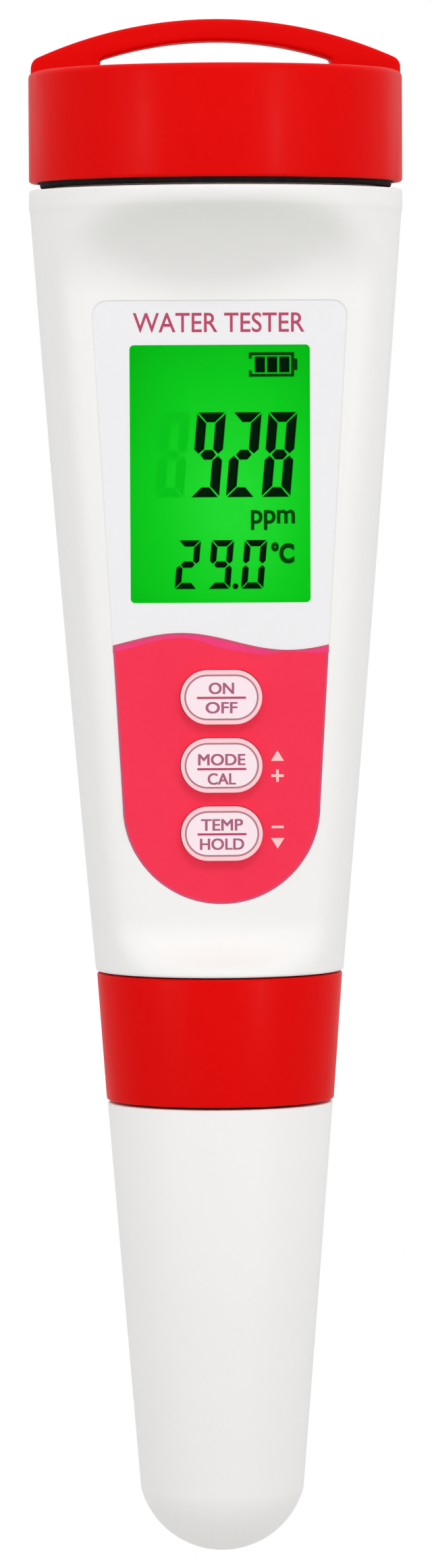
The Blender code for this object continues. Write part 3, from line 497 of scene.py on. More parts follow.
def inner_materials():
    """The circuit board, the cells, the electrode's tips and the sponge."""
    return {
        "board": Surface("green_solder_mask", (0.01, 0.16, 0.055), 0.35)
        .copper_runs().polish(500, 0.28, 0.45),
        "jacket": Surface("cell_wrapper", (0.05, 0.07, 0.13), 0.3, metallic=0.3)
        .copper_band().polish(300, 0.22, 0.4).grain(900, 0.004),
        "ceramic": Surface("porous_ceramic", (0.82, 0.79, 0.7), 0.85, specular=0.2)
        .cloud(1500, 0.5, (0.65, 0.6, 0.5)).grain(3500, 0.02, voronoi=True),
        "glass": Surface("sensor_glass", (0.78, 0.86, 0.88), 0.05).cloud(200, 0.2, (0.85, 0.9, 0.9))
        .polish(300, 0.03, 0.09).set(Alpha=0.35),
        "sponge": Surface("foam", (0.82, 0.7, 0.34), 0.95, specular=0.1)
        .cloud(1200, 0.6, (0.6, 0.48, 0.2)).grain(1400, 0.25, voronoi=True),
    }


def display_materials():
    """The window, the lit glass, its dark and unlit segments, and the light guide behind it."""
    return {
        "lens": Surface("window_lens", (0.0, 0.05, 0.005), 0.06, specular=0.25)
        .cloud(200, 0.2, (0.0, 0.08, 0.01)).polish(300, 0.04, 0.1).set(Alpha=0.07),
        "display": lit_glass(),
        "segment": Surface("display_segment", linear(1, 6, 2), 0.3, specular=0.0)
        .cloud(900, 0.3, linear(2, 16, 4)).grain(5000, 0.001),
        "symbol": Surface("display_symbol", linear(3, 60, 10), 0.3, specular=0.0)
        .cloud(900, 0.3, linear(6, 84, 16)).grain(5000, 0.001),
        "ghost": Surface("unlit_segment", (0.0, 0.01, 0.0), 0.3, specular=0.0)
        .cloud(300, 0.3, (0, 0.02, 0))
        .set(Emission_Color=(*linear(6, 207, 24), 1), Emission_Strength=0.97),
        "guide": Surface("light_guide", (0.5, 0.9, 0.5), 0.25).cloud(200, 0.4, (0.35, 0.8, 0.35))
        .grain(2000, 0.02, voronoi=True).set(Emission_Color=(0.1, 0.9, 0.15, 1), Emission_Strength=0.5),
    }


def lit_glass():
    """Backlit green glass, with painted shade darkening it towards its edges and most at its upper left
    corner.
    """
    lit = Surface("lit_display", (0.0, 0.012, 0.0), 0.25, specular=0.0)
    low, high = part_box("lcd_window")
    split = lit.add("ShaderNodeSeparateXYZ")
    lit.link(lit.place, split.inputs[0])
    across = lit.ramp(split.outputs["X"], low.x, high.x, -1, 1)
    up = lit.ramp(split.outputs["Z"], low.z, high.z, -1, 1)
    # painted shade: the glow darkens with distance from a point a little right of and below the middle
    lean = lit.add("ShaderNodeCombineXYZ")
    lit.link(lit.ramp(across, -1, 1, -1.15, 0.85), lean.inputs[0])
    lit.link(lit.ramp(up, -1, 1, -0.8, 1.2), lean.inputs[1])
    painted_shade_reach = lit.add("ShaderNodeVectorMath", operation="LENGTH")
    lit.link(lean.outputs[0], painted_shade_reach.inputs[0])
    cloud = lit.add("ShaderNodeMath", operation="MULTIPLY_ADD")
    lit.link(lit.noise(120, 3), cloud.inputs[0])
    cloud.inputs[1].default_value = 0.25
    lit.link(painted_shade_reach.outputs["Value"], cloud.inputs[2])
    # painted shade: bright green near that point, darker green towards the edges and the upper left corner
    ramp = lit.add("ShaderNodeValToRGB")
    stops = ramp.color_ramp.elements
    stops[0].position, stops[0].color = 0.2, (*linear(34, 232, 50), 1)
    stops[1].position, stops[1].color = 1.0, (*linear(2, 194, 16), 1)
    stops.new(0.6).color = (*linear(10, 216, 27), 1)
    lit.link(lit.ramp(cloud.outputs[0], 0, 1.7, 0, 1), ramp.inputs["Fac"])
    lit.link(ramp.outputs["Color"], lit.shader.inputs["Emission Color"])
    return lit.set(Emission_Strength=0.97).grain(4000, 0.001)


def make_materials():
    made = plastics() | label_prints() | metals() | inner_materials() | display_materials()
    return {name: surface.material for name, surface in made.items()}


# --- Housing
def empty_front(y, h):
    """Signed distance to the space cut away in front of the display face, over arrays."""
    slope = math.hypot(1, FACE_SLOPE)
    result = (y + FACE_DEPTH + FACE_SLOPE * (h - FACE_HEIGHT)) / slope
    for level, radius, above in ((FACE_TOP, SCOOP_TOP, True), (FACE_BOTTOM, SCOOP_BOTTOM, False)):
        middle = -face_depth(level) - radius
        rise = h - level if above else level - h
        corner = np.where(y > middle, np.hypot(y - middle, rise) - radius, rise - radius)
        result = np.where(rise > 0, corner, result)
    return result


def outer_radius(h):
    """The round of the housing, with its upright lip and small edge rounds, over an array."""
    radius = np.array([housing_radius(v) for v in h])
    lip_low = HOUSING_TOP - LIP + 0.3
    rise = np.clip((h - CONE_HIGH[0]) / (lip_low - CONE_HIGH[0]), 0, 1)
    radius = np.where(h > CONE_HIGH[0], CONE_HIGH[1] + (CAP_RADIUS - CONE_HIGH[1]) * rise, radius)
    for edge, side in ((HOUSING_TOP, 1), (HOUSING_BOTTOM, -1)):
        depth = np.clip(EDGE_ROUND - (edge - h) * side, 0, EDGE_ROUND)
        radius = radius - (EDGE_ROUND - np.sqrt(np.maximum(EDGE_ROUND ** 2 - depth ** 2, 0)))
    return radius


def shell_rings():
    """Heights, angles and radii of the skin, finer over the scoops and across the front."""
    low_edge = HOUSING_BOTTOM + np.array([0, 0.03, 0.1, 0.2, 0.3])
    low_scoop, straight = np.arange(69.2, 76.2, 0.22), np.arange(77, 146.6, 2.0)
    high_scoop = np.arange(147.0, 158.6, 0.26)
    high_edge = [159.2, 159.8, 160.0, 160.1, 160.2, 160.27, HOUSING_TOP]
    heights = np.concatenate([low_edge, low_scoop, straight, high_scoop, high_edge])
    front = np.radians(np.arange(-78, 78.01, 1.0))
    back = np.radians(np.arange(81, 279.01, 3.0))
    angles = np.concatenate([front, back])
    h, a = np.meshgrid(heights, angles, indexing="ij")
    limit = np.repeat(outer_radius(heights)[:, None], len(angles), axis=1)
    low, high = np.full_like(h, 3.0), limit + 0.01
    for _ in range(40):
        middle = (low + high) / 2
        cone_side = middle - limit
        front_side = -empty_front(-middle * np.cos(a), h)
        share = np.maximum(FILLET - np.abs(cone_side - front_side), 0) / FILLET
        inside = np.maximum(cone_side, front_side) + share ** 2 * FILLET / 4 <= 0
        low, high = np.where(inside, middle, low), np.where(inside, high, middle)
    return heights, angles, low


def shell_body():
    """Spigot, tapered body and neck as one closed skin, before it is hollowed."""
    heights, angles, radii = shell_rings()
    rings = [(SPIGOT_RADIUS - 0.5, SPIGOT_BOTTOM), (SPIGOT_RADIUS, SPIGOT_BOTTOM + 0.5),
             (SPIGOT_RADIUS, HOUSING_BOTTOM)]
    rings += [(radii[i], h) for i, h in enumerate(heights)]
    rings += [(NECK_RADIUS + 0.25, HOUSING_TOP), (NECK_RADIUS, HOUSING_TOP + 0.25),
              (NECK_RADIUS, NECK_TOP - 0.5), (NECK_RADIUS - 0.15, NECK_TOP - 0.15),
              (NECK_RADIUS - 0.5, NECK_TOP)]
    sections = []
    for radius, h in rings:
        radius = np.broadcast_to(radius, angles.shape)
        sections.append([(r * math.sin(a), -r * math.cos(a), h) for r, a in zip(radius, angles)])
    return lofted("housing", sections, sharp=30)


def front_block(wall):
    """The space in front of the face and its scoops, grown by a wall thickness."""
    low = (-face_depth(FACE_BOTTOM) - SCOOP_BOTTOM, FACE_BOTTOM)
    high = (-face_depth(FACE_TOP) - SCOOP_TOP, FACE_TOP)
    side = arc(low, SCOOP_BOTTOM + wall, -90, 0, 16) + arc(high, SCOOP_TOP + wall, 0, 90, 24)
    reach = 35  # well past the housing's side
    side += [(-reach, side[-1][1]), (-reach, side[0][1])]
    turn = Matrix(((0, 0, 1, 0), (1, 0, 0, 0), (0, 1, 0, 0), (0, 0, 0, 1)))
    return prism("front_block", side, -reach, reach, TO_ROW @ turn)


def cavity():
    shelf, shoulder = HOUSING_BOTTOM + 1.3, CONE_HIGH[0] - 1.8
    heights = [shelf + (shoulder - shelf) * i / 12 for i in range(13)]
    profile = [(0, SPIGOT_BOTTOM - 1), (SPIGOT_BORE + 0.4, SPIGOT_BOTTOM - 1),
               (SPIGOT_BORE + 0.4, SPIGOT_BOTTOM), (SPIGOT_BORE, SPIGOT_BOTTOM + 0.4), (SPIGOT_BORE, shelf)]
    profile += [(housing_radius(h) - HOUSING_WALL, h) for h in heights]
    profile += [(NECK_BORE, shoulder + 3), (NECK_BORE, NECK_TOP - 0.3), (NECK_BORE + 0.3, NECK_TOP),
                (NECK_BORE + 0.3, NECK_TOP + 1), (0, NECK_TOP + 1)]
    return cut(turned("cavity", profile, 120), front_block(FACE_WALL))


def label_outline(margin):
    top, end = on_face(LABEL_TOP) + margin, on_face(LABEL_END)
    wide, narrow = LABEL_HALF + margin, LABEL_END_RADIUS + margin
    corner = LABEL_CORNER + margin
    return (arc((0, end), narrow, 180, 360, 48) + arc((wide - corner, top - corner), corner, 0, 90, 10)
            + arc((corner - wide, top - corner), corner, 90, 180, 10))


def key_places():
    return {name: on_face(KEY_TOP - i * KEY_PITCH) for i, name in enumerate(KEYS)}


def window_outline(margin):
    return rounded_rectangle(WINDOW_WIDTH + 2 * margin, WINDOW_HEIGHT + 2 * margin, 0.5 + margin)


def window_cutter(margin, low):
    return prism("window_hole", window_outline(margin), low, 1, FACE, (0, on_face(WINDOW_CENTRE)))


def key_cutters(low, gap):
    hole = pill(KEY_WIDTH + 2 * gap, KEY_HEIGHT + 2 * gap)
    return [prism("key_hole", hole, low, 1, FACE, (0, v)) for v in key_places().values()]


def housing(mats):
    shell = shell_body()
    join(shell, thread_ridge(NECK_RADIUS, **NECK_THREAD), thread_ridge(SPIGOT_RADIUS, **SPIGOT_THREAD))
    behind = -4  # deeper than the wall behind the face
    window = window_cutter(0.3, behind)
    pocket = prism("label_pocket", label_outline(0), -LABEL_POCKET, 2, FACE)
    cut(shell, cavity(), pocket, window, *key_cutters(behind, KEY_GAP))
    keyways = [prism("keyway", rounded_rectangle(2.8, 4, 0.3), 168, NECK_TOP + 1, place=(side * 16.5, 0))
               for side in (-1, 1)]
    low_keyway = prism("keyway", rounded_rectangle(2.6, 2, 0.3), SPIGOT_BOTTOM - 1, SPIGOT_BOTTOM + 4,
                       place=(0, 9.6))
    cut(shell, *keyways, low_keyway)
    show(shell, "housing", mats["white"], "white_shell", "housing_shell")


# --- Label
def label(mats):
    film = prism("front_film", label_outline(FILM_MARGIN), -0.45, LABEL_LEVEL, FACE, edge=0.1)
    cut(film, window_cutter(FILM_MARGIN, -1), *key_cutters(-1, FILM_GAP))
    show(film, "housing", mats["film"], "label_film", "front_label")


def wave(u):
    """Height of the pink field's upper edge."""
    return 107.65 + 1.02 * math.cos(math.pi * (u + 4.7) / 12.6)


def band_depth(u):
    """How far the darker band reaches below the wave."""
    stops = ((-13.5, 0.9), (-4.7, 0.6), (0.5, 1.15), (4, 0.9), (8, 0.2), (13.5, 1.0))
    for (a, low), (b, high) in zip(stops, stops[1:]):
        if u <= b:
            t = (u - a) / (b - a)
            return low + (high - low) * (3 * t * t - 2 * t ** 3)
    return stops[-1][1]


def coloured_field(mats):
    """The pink field of the label, with its waved upper edge and a darker band along it."""
    steps = 60
    share = (107.2 - LABEL_END) / (LABEL_TOP - LABEL_CORNER - LABEL_END)
    edge = LABEL_END_RADIUS + (LABEL_HALF - LABEL_END_RADIUS) * share  # half the label's width there
    across = [edge - 2 * edge * i / steps for i in range(steps + 1)]
    end = (0, on_face(LABEL_END))
    under = arc(end, LABEL_END_RADIUS, 180, 360, 64)
    top = [(u, on_face(wave(u))) for u in across]
    field = prism("pink_field", under + top, LABEL_LEVEL, LABEL_LEVEL + INK, FACE)
    cut(field, *key_cutters(-1, FILM_GAP))
    outline = [(u, on_face(wave(u) - band_depth(u))) for u in reversed(across)] + top
    band = prism("magenta_band", outline, LABEL_LEVEL + INK * 0.75, LABEL_LEVEL + INK * 1.5, FACE)
    line = 0.25
    inner = arc(end, LABEL_END_RADIUS - line, 180, 360, 64)
    inner_top = [(u * (1 - line / edge), v - line) for u, v in top]
    contour = prism("field_contour", under + top, LABEL_LEVEL + INK, LABEL_LEVEL + 2 * INK, FACE)
    cut(contour, prism("inside", inner + inner_top, -1, 1, FACE))
    for piece, ink in ((field, "pink"), (band, "magenta"), (contour, "contour")):
        show(piece, "housing", mats[ink], "label_film")


def text_mesh(text, bold):
    """Letters of the built-in sans face, with their middle and their size."""
    curve = bpy.data.curves.new("lettering", "FONT")
    curve.body = text
    curve.extrude = 0.004
    curve.offset = bold
    curve.resolution_u = 6
    made = placed("lettering", curve)
    mesh = evaluated(made)
    bpy.data.objects.remove(made)
    points = np.array([v.co for v in mesh.vertices])
    low, high = points.min(0), points.max(0)
    return mesh, (low + high) / 2, high - low


def lettering(text, centre, height, width, level, bold=0.0, weight=0.0):
    """Raised ink, fitted to a cap height and a width.

    A weight sets four copies apart, each a little above the last, because a bold M breaks up.
    """
    mesh, middle, size = text_mesh(text, bold)
    scale = Matrix.Diagonal((width / size[0], height / size[1], 1, 1))
    copies = ((-1, -1), (1, -1), (-1, 1), (1, 1)) if weight else ((0, 0),)
    made = []
    for i, (dx, dy) in enumerate(copies):
        inked = mesh.copy()
        place = Matrix.Translation((centre[0] + dx * weight, centre[1] + dy * weight / 2,
                                    level + 0.004 + 0.0015 * i))
        inked.transform(FACE @ place @ scale @ Matrix.Translation((-middle[0], -middle[1], 0)))
        made.append(placed("lettering", inked))
    return made


def label_print(mats):
    """The title over the window, and the marks beside the two lower keys."""
    title = lettering("WATER TESTER", (-0.1, on_face(144.65)), 2.3, 19.9, LABEL_LEVEL, 0.008)
    show(merged("title_print", title), "housing", mats["crimson"], "label_film")
    up = [(-0.76, -0.6), (0.76, -0.6), (0, 0.62)]
    down = [(u, -v) for u, v in reversed(up)]
    arm, half = 0.72, 0.15
    plus = [(half, half), (half, arm), (-half, arm), (-half, half), (-arm, half), (-arm, -half),
            (-half, -half), (-half, -arm), (half, -arm), (half, -half), (arm, -half), (arm, half)]
    level, across = LABEL_LEVEL + INK, 6.52
    marks = [prism("mark", outline, level, level + INK, FACE, (across, on_face(height)))
             for outline, height in ((up, 94.3), (plus, 91.97), (bar(0.7, 0.14), 85.98), (down, 84.08))]
    show(merged("marks_print", marks), "housing", mats["cream"], "label_film")


# --- Display
SEGMENTS = {"0": "abcdef", "2": "abged", "8": "abcdefg", "9": "abfgcd"}
LARGE_DIGIT = {"width": 3.35, "height": 9.87, "stroke": 1.15, "gap": 0.13}
SMALL_DIGIT = {"width": 2.62, "height": 5.68, "stroke": 0.74, "gap": 0.1}


def segment_outlines(width, height, stroke, gap):
    """The seven bars of a digit, with mitred ends, from its lower left corner."""
    w, h, t, g, m = width, height, stroke, gap, height / 2
    b = t * 0.55
    top = [(g, h), (w - g, h), (w - t - g * 0.4, h - t), (t + g * 0.4, h - t)]
    side = [(w, h - g), (w, m + b), (w - t * 0.45, m + g * 0.9), (w - t, m + t / 2 + g * 0.7),
            (w - t, h - t - g)]
    middle = [(t * 0.55 + g, m), (t + g * 0.6, m + t / 2), (w - t - g * 0.6, m + t / 2),
              (w - t * 0.55 - g, m), (w - t - g * 0.6, m - t / 2), (t + g * 0.6, m - t / 2)]

    def mirrored(shape):
        return [(w - x, y) for x, y in reversed(shape)]

    def upended(shape):
        return [(x, h - y) for x, y in reversed(shape)]

    return {"a": top, "b": side, "c": upended(side), "d": upended(top), "e": upended(mirrored(side)),
            "f": mirrored(side), "g": middle}


def segment(outline, place=(0, 0), low=0.01):
    """One shape on the lit glass; place is measured from the window's centre."""
    level = DISPLAY_LEVEL + low
    return prism("segment", outline, level, level + INK, FACE, (place[0], place[1] + on_face(WINDOW_CENTRE)))


def digits(text, place, size, pitch, low=0.01):
    lean = math.tan(math.radians(5))
    outlines = segment_outlines(**size)
    shapes = []
    for i, digit in enumerate(text):
        for key in SEGMENTS[digit]:
            points = [(x + y * lean + place[0] + i * pitch, y + place[1]) for x, y in outlines[key]]
            shapes.append(segment(points, low=low))
    return shapes


def battery_outline():
    """The frame round the battery's three bars, open on its left side."""
    left, right, low, high, line = 3.45, 8.72, 11.2, 14.05, 0.35
    step, nib = 0.75, 0.4
    return [(left, high), (left, high - step), (left + line, high - step), (left + line, high - line),
            (right - line, high - line), (right - line, low + line), (left + line, low + line),
            (left + line, low + step), (left, low + step), (left, low), (right, low), (right, low + step),
            (right + nib, low + step), (right + nib, high - step), (right, high - step), (right, high)]


def display(mats):
    dark = digits("928", (-3.42, -2.78), LARGE_DIGIT, 4.15)
    dark += digits("290", (-5.3, -13.46), SMALL_DIGIT, 3.86)
    dark.append(segment(circle(0.34, 24), (1.8, -13.16)))
    dark += [segment(shifted(rounded_rectangle(1.2, 1.85, 0.06), 4.75 + 1.42 * i, 12.62))
             for i in range(3)]
    show(merged("display_digits", dark), "housing", mats["segment"], "lcd_glass")
    middle, level = on_face(WINDOW_CENTRE), DISPLAY_LEVEL + 0.01
    symbols = [segment(battery_outline()),
               *lettering("ppm", (6.2, -5.45 + middle), 2.35, 5.15, level, 0.022),
               *lettering("°C", (7.33, -9.3 + middle), 2.5, 2.7, level, 0.05)]
    show(merged("display_symbols", symbols), "housing", mats["symbol"], "lcd_glass")
    ghosts = digits("8", (-7.57, -2.78), LARGE_DIGIT, 0, 0.002)
    show(merged("display_ghosts", ghosts), "housing", mats["ghost"], "lcd_glass")
    lens = prism("window_lens", window_outline(0), -FACE_WALL, -0.05, FACE, (0, middle), edge=0.1)
    show(lens, "housing", mats["lens"], "clear_lens", "lcd_window")


# --- Keys
WORD_WIDTHS = {"ON": 2.86, "OFF": 3.61, "MODE": 5.41, "CAL": 3.21, "TEMP": 4.81, "HOLD": 5.06}


def key(name, v, mats):
    body, top = f"{name}_key", KEY_PROUD - 0.002
    cap = prism(f"key_{name}", pill(KEY_WIDTH, KEY_HEIGHT), -2.6, KEY_PROUD, FACE, (0, v), edge=0.38, steps=5)
    flange = prism("flange", pill(KEY_WIDTH + 1.6, KEY_HEIGHT + 1.1), -2.95, -2.1, FACE, (0, v))
    stem = prism("stem", circle(1.5, 32), -4.6, -2.5, FACE, (0, v))
    join(cap, flange, stem)
    show(cap, body, mats["key"], "key_plastic", f"button_{name}")
    width, height, line = KEY_WIDTH - 0.86, KEY_HEIGHT - 0.98, 0.2
    face = prism(f"key_face_{name}", pill(width - line, height - line), top, top + 0.015, FACE, (0, v))
    show(face, body, mats["key_face"], "key_plastic")
    ring = prism(f"key_ring_{name}", pill(width, height), top, top + INK, FACE, (0, v))
    cut(ring, prism("ring_hole", pill(width - 2 * line, height - 2 * line), 0, 2, FACE, (0, v)))
    show(ring, body, mats["outline"], "key_plastic")
    middle = v + (-0.4 if name == "mode_cal" else -0.05)
    inked = []
    for word, rise in zip(KEYS[name], (1.1, -1.15)):
        inked += lettering(word, (0, middle + rise), 1.3, WORD_WIDTHS[word], top + 0.014, weight=0.048)
    show(merged(f"key_print_{name}", inked), body, mats["mauve"], "key_plastic")
    between = prism(f"key_bar_{name}", bar(2.85, 0.13), top + 0.013, top + 0.026, FACE, (0, middle))
    show(between, body, mats["crimson"], "key_plastic")


# --- Top cap
def loop_outline():
    arch_radius, bend, foot = 51, 1.3, 172
    half = CAP_RADIUS - 0.3
    low = TOP - arch_radius
    rise = math.sqrt((arch_radius - bend) ** 2 - (half - bend) ** 2)
    lean = math.degrees(math.atan2(rise, half - bend))
    right = arc((half - bend, low + rise), bend, 0, lean, 10)
    arch = arc((0, low), arch_radius, lean, 180 - lean, 60)
    left = arc((bend - half, low + rise), bend, 180 - lean, 180, 10)
    return [(half, foot), *right, *arch[1:-1], *left, (-half, foot)]


def loop_opening():
    radius, half = 44, 13.5
    lean = math.degrees(math.asin(half / radius))
    return [(-half, CAP_ROOF), (half, CAP_ROOF), *arc((0, CROWN - radius), radius, 90 - lean, 90 + lean, 40)]


def upright(name, outline, half_depth):
    """An (x, height) outline, extruded as far in front of the axis as behind it."""
    turn = Matrix(((1, 0, 0, 0), (0, 0, -1, 0), (0, 1, 0, 0), (0, 0, 0, 1)))
    return prism(name, outline, -half_depth, half_depth, TO_ROW @ turn)


def lanyard_loop():
    loop = upright("loop", loop_outline(), LOOP_HALF_DEPTH)
    cut(loop, upright("loop_hole", loop_opening(), LOOP_HALF_DEPTH + 2))
    bevel = loop.modifiers.new("edge", "BEVEL")
    bevel.width, bevel.segments, bevel.limit_method = 0.45 * MM, 4, "ANGLE"
    bevel.angle_limit = math.radians(50)
    return loop


def top_cap(mats):
    wall, rebate = CAP_RADIUS - 1.6, CAP_RADIUS - 1.0
    inside = CAP_ROOF - 1.5
    profile = [(0, inside), (wall - 0.6, inside), (wall, inside - 0.6), (wall, CAP_BOTTOM + 1.4),
               (rebate, CAP_BOTTOM + 1.1), (rebate, CAP_BOTTOM),
               *arc((CAP_RADIUS - 0.35, CAP_BOTTOM + 0.35), 0.35, -90, 0, 5),
               *arc((CAP_RADIUS - 0.8, CAP_RIM - 0.8), 0.8, 0, 90, 8),
               *arc((CAP_RADIUS - 1.6, CAP_RIM - 0.2), 0.2, 90, 150, 3),
               (CAP_RADIUS - 2.2, CAP_ROOF + 0.25), (CAP_RADIUS - 2.7, CAP_ROOF), (0, CAP_ROOF)]
    cap = turned("screw_cap_shell", profile, 180)
    stud = [(0, 172.6), (2.4, 172.6), (2.4, 169.2), (2.2, 169.0), (0, 169.0)]
    join(cap, lanyard_loop(), turned("stud", stud, 48), thread_ridge(wall, **NECK_THREAD, inside=True))
    cut(cap, prism("stud_hole", circle(1.3, 24), 168, 172))
    show(cap, "screw_cap", mats["red"], "red_plastic", "top_cap")


def cap_gasket(mats):
    middle = CAP_RADIUS - 2.15
    ring = ring_section(middle - 0.65, middle + 0.85, 160.6, 161.9, 0.25)
    show(turned("cap_gasket", ring, 128), "housing", mats["rubber"], "black_rubber", "cap_seal")


# --- Collar, electrode and sensor cap
def locking_collar(mats):
    low, high = cone(COLLAR_BOTTOM) + 0.06, cone(COLLAR_TOP) - 0.12
    major, bore, lip_top = SPIGOT_RADIUS + 1.2, 12.05, COLLAR_BOTTOM + 1.7
    profile = [(COLLAR_LIP, COLLAR_BOTTOM), *arc((low - 0.25, COLLAR_BOTTOM + 0.25), 0.25, -90, 0, 4),
               *arc((high - 0.25, COLLAR_TOP - 0.25), 0.25, 0, 90, 4), (major, COLLAR_TOP),
               (major, SPIGOT_BOTTOM), (bore, SPIGOT_BOTTOM - 0.2), (bore, lip_top), (COLLAR_LIP, lip_top)]
    collar = turned("collar_ring", profile, 144)
    join(collar, thread_ridge(major, **SPIGOT_THREAD, inside=True))
    show(collar, "collar", mats["red"], "red_plastic", "locking_collar")


def electrode_tube():
    """Nose, tapered body, groove and flange, with the upper seal's groove at the inner end."""
    profile = [(0, NOSE), (5.7, NOSE), (5.7, 27.2), (7.3, 27.2), (8.6, 46), (10.0, 47.5), (10.6, 48.2),
               (10.6, 49.9), (9.2, 49.9), (9.2, 51.7), (10.6, 51.7), (10.6, 55.5), (11.55, 55.5),
               (11.55, 58.1), (9.4, 58.1), (9.4, 58.9), (8.2, 58.9), (8.2, 60.3), (9.4, 60.3),
               (9.4, 60.9), (9.1, 61.2), (8.2, 61.2), (8.2, 60.7), (0, 60.7)]
    body = turned("electrode_tube", softened(profile, 0.2), 96)
    return join(body, prism("lug", shifted(rounded_rectangle(2.0, 2.4, 0.3), 0, 9.1), 57.9, 58.85))


def sensing_tips(mats, body):
    """The four tips in the electrode's nose, each in its own socket."""
    # piece, CAD node, material, record slot, place, radius, height of its end
    tips = (
        ("glass_stem", "orp_glass_stem", "glass", "electrode_glass", (-2.2, 0), 1.6, 14.6),
        ("hydrogen_tip", "hydrogen_electrode", "platinum", "platinum", (2.4, 2.3), 1.1, 15.4),
        ("temperature_tip", "temperature_pin", "steel", "steel", (2.4, -2.3), 1.1, 14.8),
        ("junction_plug", "reference_junction", "ceramic", "ceramic", (-1.8, 3.9), 0.9, 18.6),
    )
    inner_end = NOSE + 3
    for name, node, material, slot, place, radius, low in tips:
        stem = [(0, low), *arc((0, low + radius), radius, -80, 0, 8), (radius, inner_end), (0, inner_end)]
        show(turned(name, stem, 40, place), "electrode", mats[material], slot, node)
        cut(body, prism("socket", circle(radius + 0.25, 40), NOSE - 1, inner_end + 0.3, place=place))


def rings(mats):
    """The platinum band round the glass stem, and the two O-rings."""
    ring = turned("platinum_ring", ring_section(1.75, 2.05, 16.4, 17.6, 0.08), 48, (-2.2, 0))
    show(ring, "electrode", mats["platinum"], "platinum", "platinum_band")
    for name, node, radius, height, thick in (("upper_o_ring", "electrode_seal", 9.05, 59.6, 0.6),
                                              ("lower_o_ring", "cap_ring_seal", 10.05, 50.8, 0.75)):
        ring = turned(name, arc((radius, height), thick, 0, 345, 23), 96)
        show(ring, "electrode", mats["rubber"], "black_rubber", node)


def sensor_guard(mats):
    guard = turned("sensor_guard", ring_section(6.0, 7.2, ELECTRODE_TIP, 26.9, 0.35, 4), 96)
    turns = [TO_ROW @ Matrix.Rotation(math.radians(angle), 4, "Z") for angle in (45, 135)]
    slot = rounded_rectangle(20, 5, 0.6)
    cut(guard, *[prism("slot", slot, ELECTRODE_TIP - 1, NOSE + 1, turn) for turn in turns])
    show(guard, "electrode", mats["black"], "black_plastic", "electrode_guard")


def electrode(mats):
    body = electrode_tube()
    sensing_tips(mats, body)
    show(body, "electrode", mats["black"], "black_plastic", "electrode_body")
    rings(mats)
    sensor_guard(mats)


def sensor_cap(mats):
    dome = CONE_LOW[1] * 1.036
    start = -math.degrees(math.acos(CONE_LOW[1] / dome))
    outside = arc((0, dome), dome, -90, start, 32)
    outside[0] = (0, 0)
    mouth = cone(SENSOR_CAP_TOP) - 0.06
    bore_end, inner_low, midway = 46.5, 10, 30
    low_radius = cone(inner_low) - SENSOR_CAP_WALL
    inside = arc((0, dome + 0.2), low_radius, start, -90, 16)
    inside[-1] = (0, inside[-1][1])
    profile = [*outside, (cone(midway), midway), *arc((mouth - 0.25, SENSOR_CAP_TOP - 0.25), 0.25, 0, 90, 4),
               (SENSOR_CAP_BORE + 0.3, SENSOR_CAP_TOP), (SENSOR_CAP_BORE, SENSOR_CAP_TOP - 0.3),
               (SENSOR_CAP_BORE, bore_end), (cone(bore_end) - SENSOR_CAP_WALL, bore_end - 0.6),
               (low_radius, inner_low), *inside[1:]]
    show(turned("push_on_cap", profile, 144), "storage_cap", mats["white"], "white_shell", "sensor_cap")


def storage_sponge(mats):
    foam = softened([(0, 3.0), (3.2, 3.5), (5.6, 5.6), (6.9, 7.4), (6.9, 8.4), (0, 8.4)], 0.5)
    show(turned("damp_foam", foam, 64), "storage_cap", mats["sponge"], "sponge", "storage_sponge")


def dress(mats):
    """Materials for the CAD nodes that stay as they are."""
    looks = {
        "black": ("lcd_bezel", "controller_chip", "amplifier_chip", "battery_holder", "contact_carrier",
                  "probe_socket", *(f"switch_plunger_{name}" for name in KEYS)),
        "rubber": ("zebra_strip", "keypad_retainer"),
        "board": ("main_board", "probe_ribbon", "contact_board"),
        "steel": ("negative_spring", "carrier_screw", *(f"board_screw_{i}" for i in range(1, 5)),
                  *(f"tact_switch_{name}" for name in KEYS)),
        "nickel": ("positive_contact", "bridge_plate"),
        "gold": tuple(f"socket_pin_{i}" for i in range(1, 5)),
        "jacket": ("battery_cell_1", "battery_cell_2"),
        "guide": ("backlight_panel",),
        "display": ("lcd_glass",),
        "red_wire": ("battery_lead_red",),
        "black_wire": ("battery_lead_black",),
    }
    for look, nodes in looks.items():
        for node in nodes:
            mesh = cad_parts[node].data
            mesh.materials.clear()
            mesh.materials.append(mats[look])


# --- Studio
# name: azimuth and elevation in degrees; distance, width and height in metres; power in watts
LAMPS = {
    "front_softbox": (6, 48, 1.2, 0.5, 0.22, 3.0),
    "left_softbox": (-48, 30, 1.2, 0.3, 0.8, 0.8),
    "right_softbox": (37, 30, 1.2, 0.3, 0.8, 1.2),
    "top_softbox": (180, 72, 1.1, 0.6, 0.6, 1.2),
    "back_left_softbox": (-140, 25, 1.3, 0.8, 1.0, 0.9),
    "back_right_softbox": (135, 20, 1.3, 0.8, 1.0, 0.9),
    "left_strip": (-48, 3, 1.2, 0.14, 0.3, 2.8),
    "right_strip": (37, 3, 1.2, 0.14, 0.3, 2.8),
}


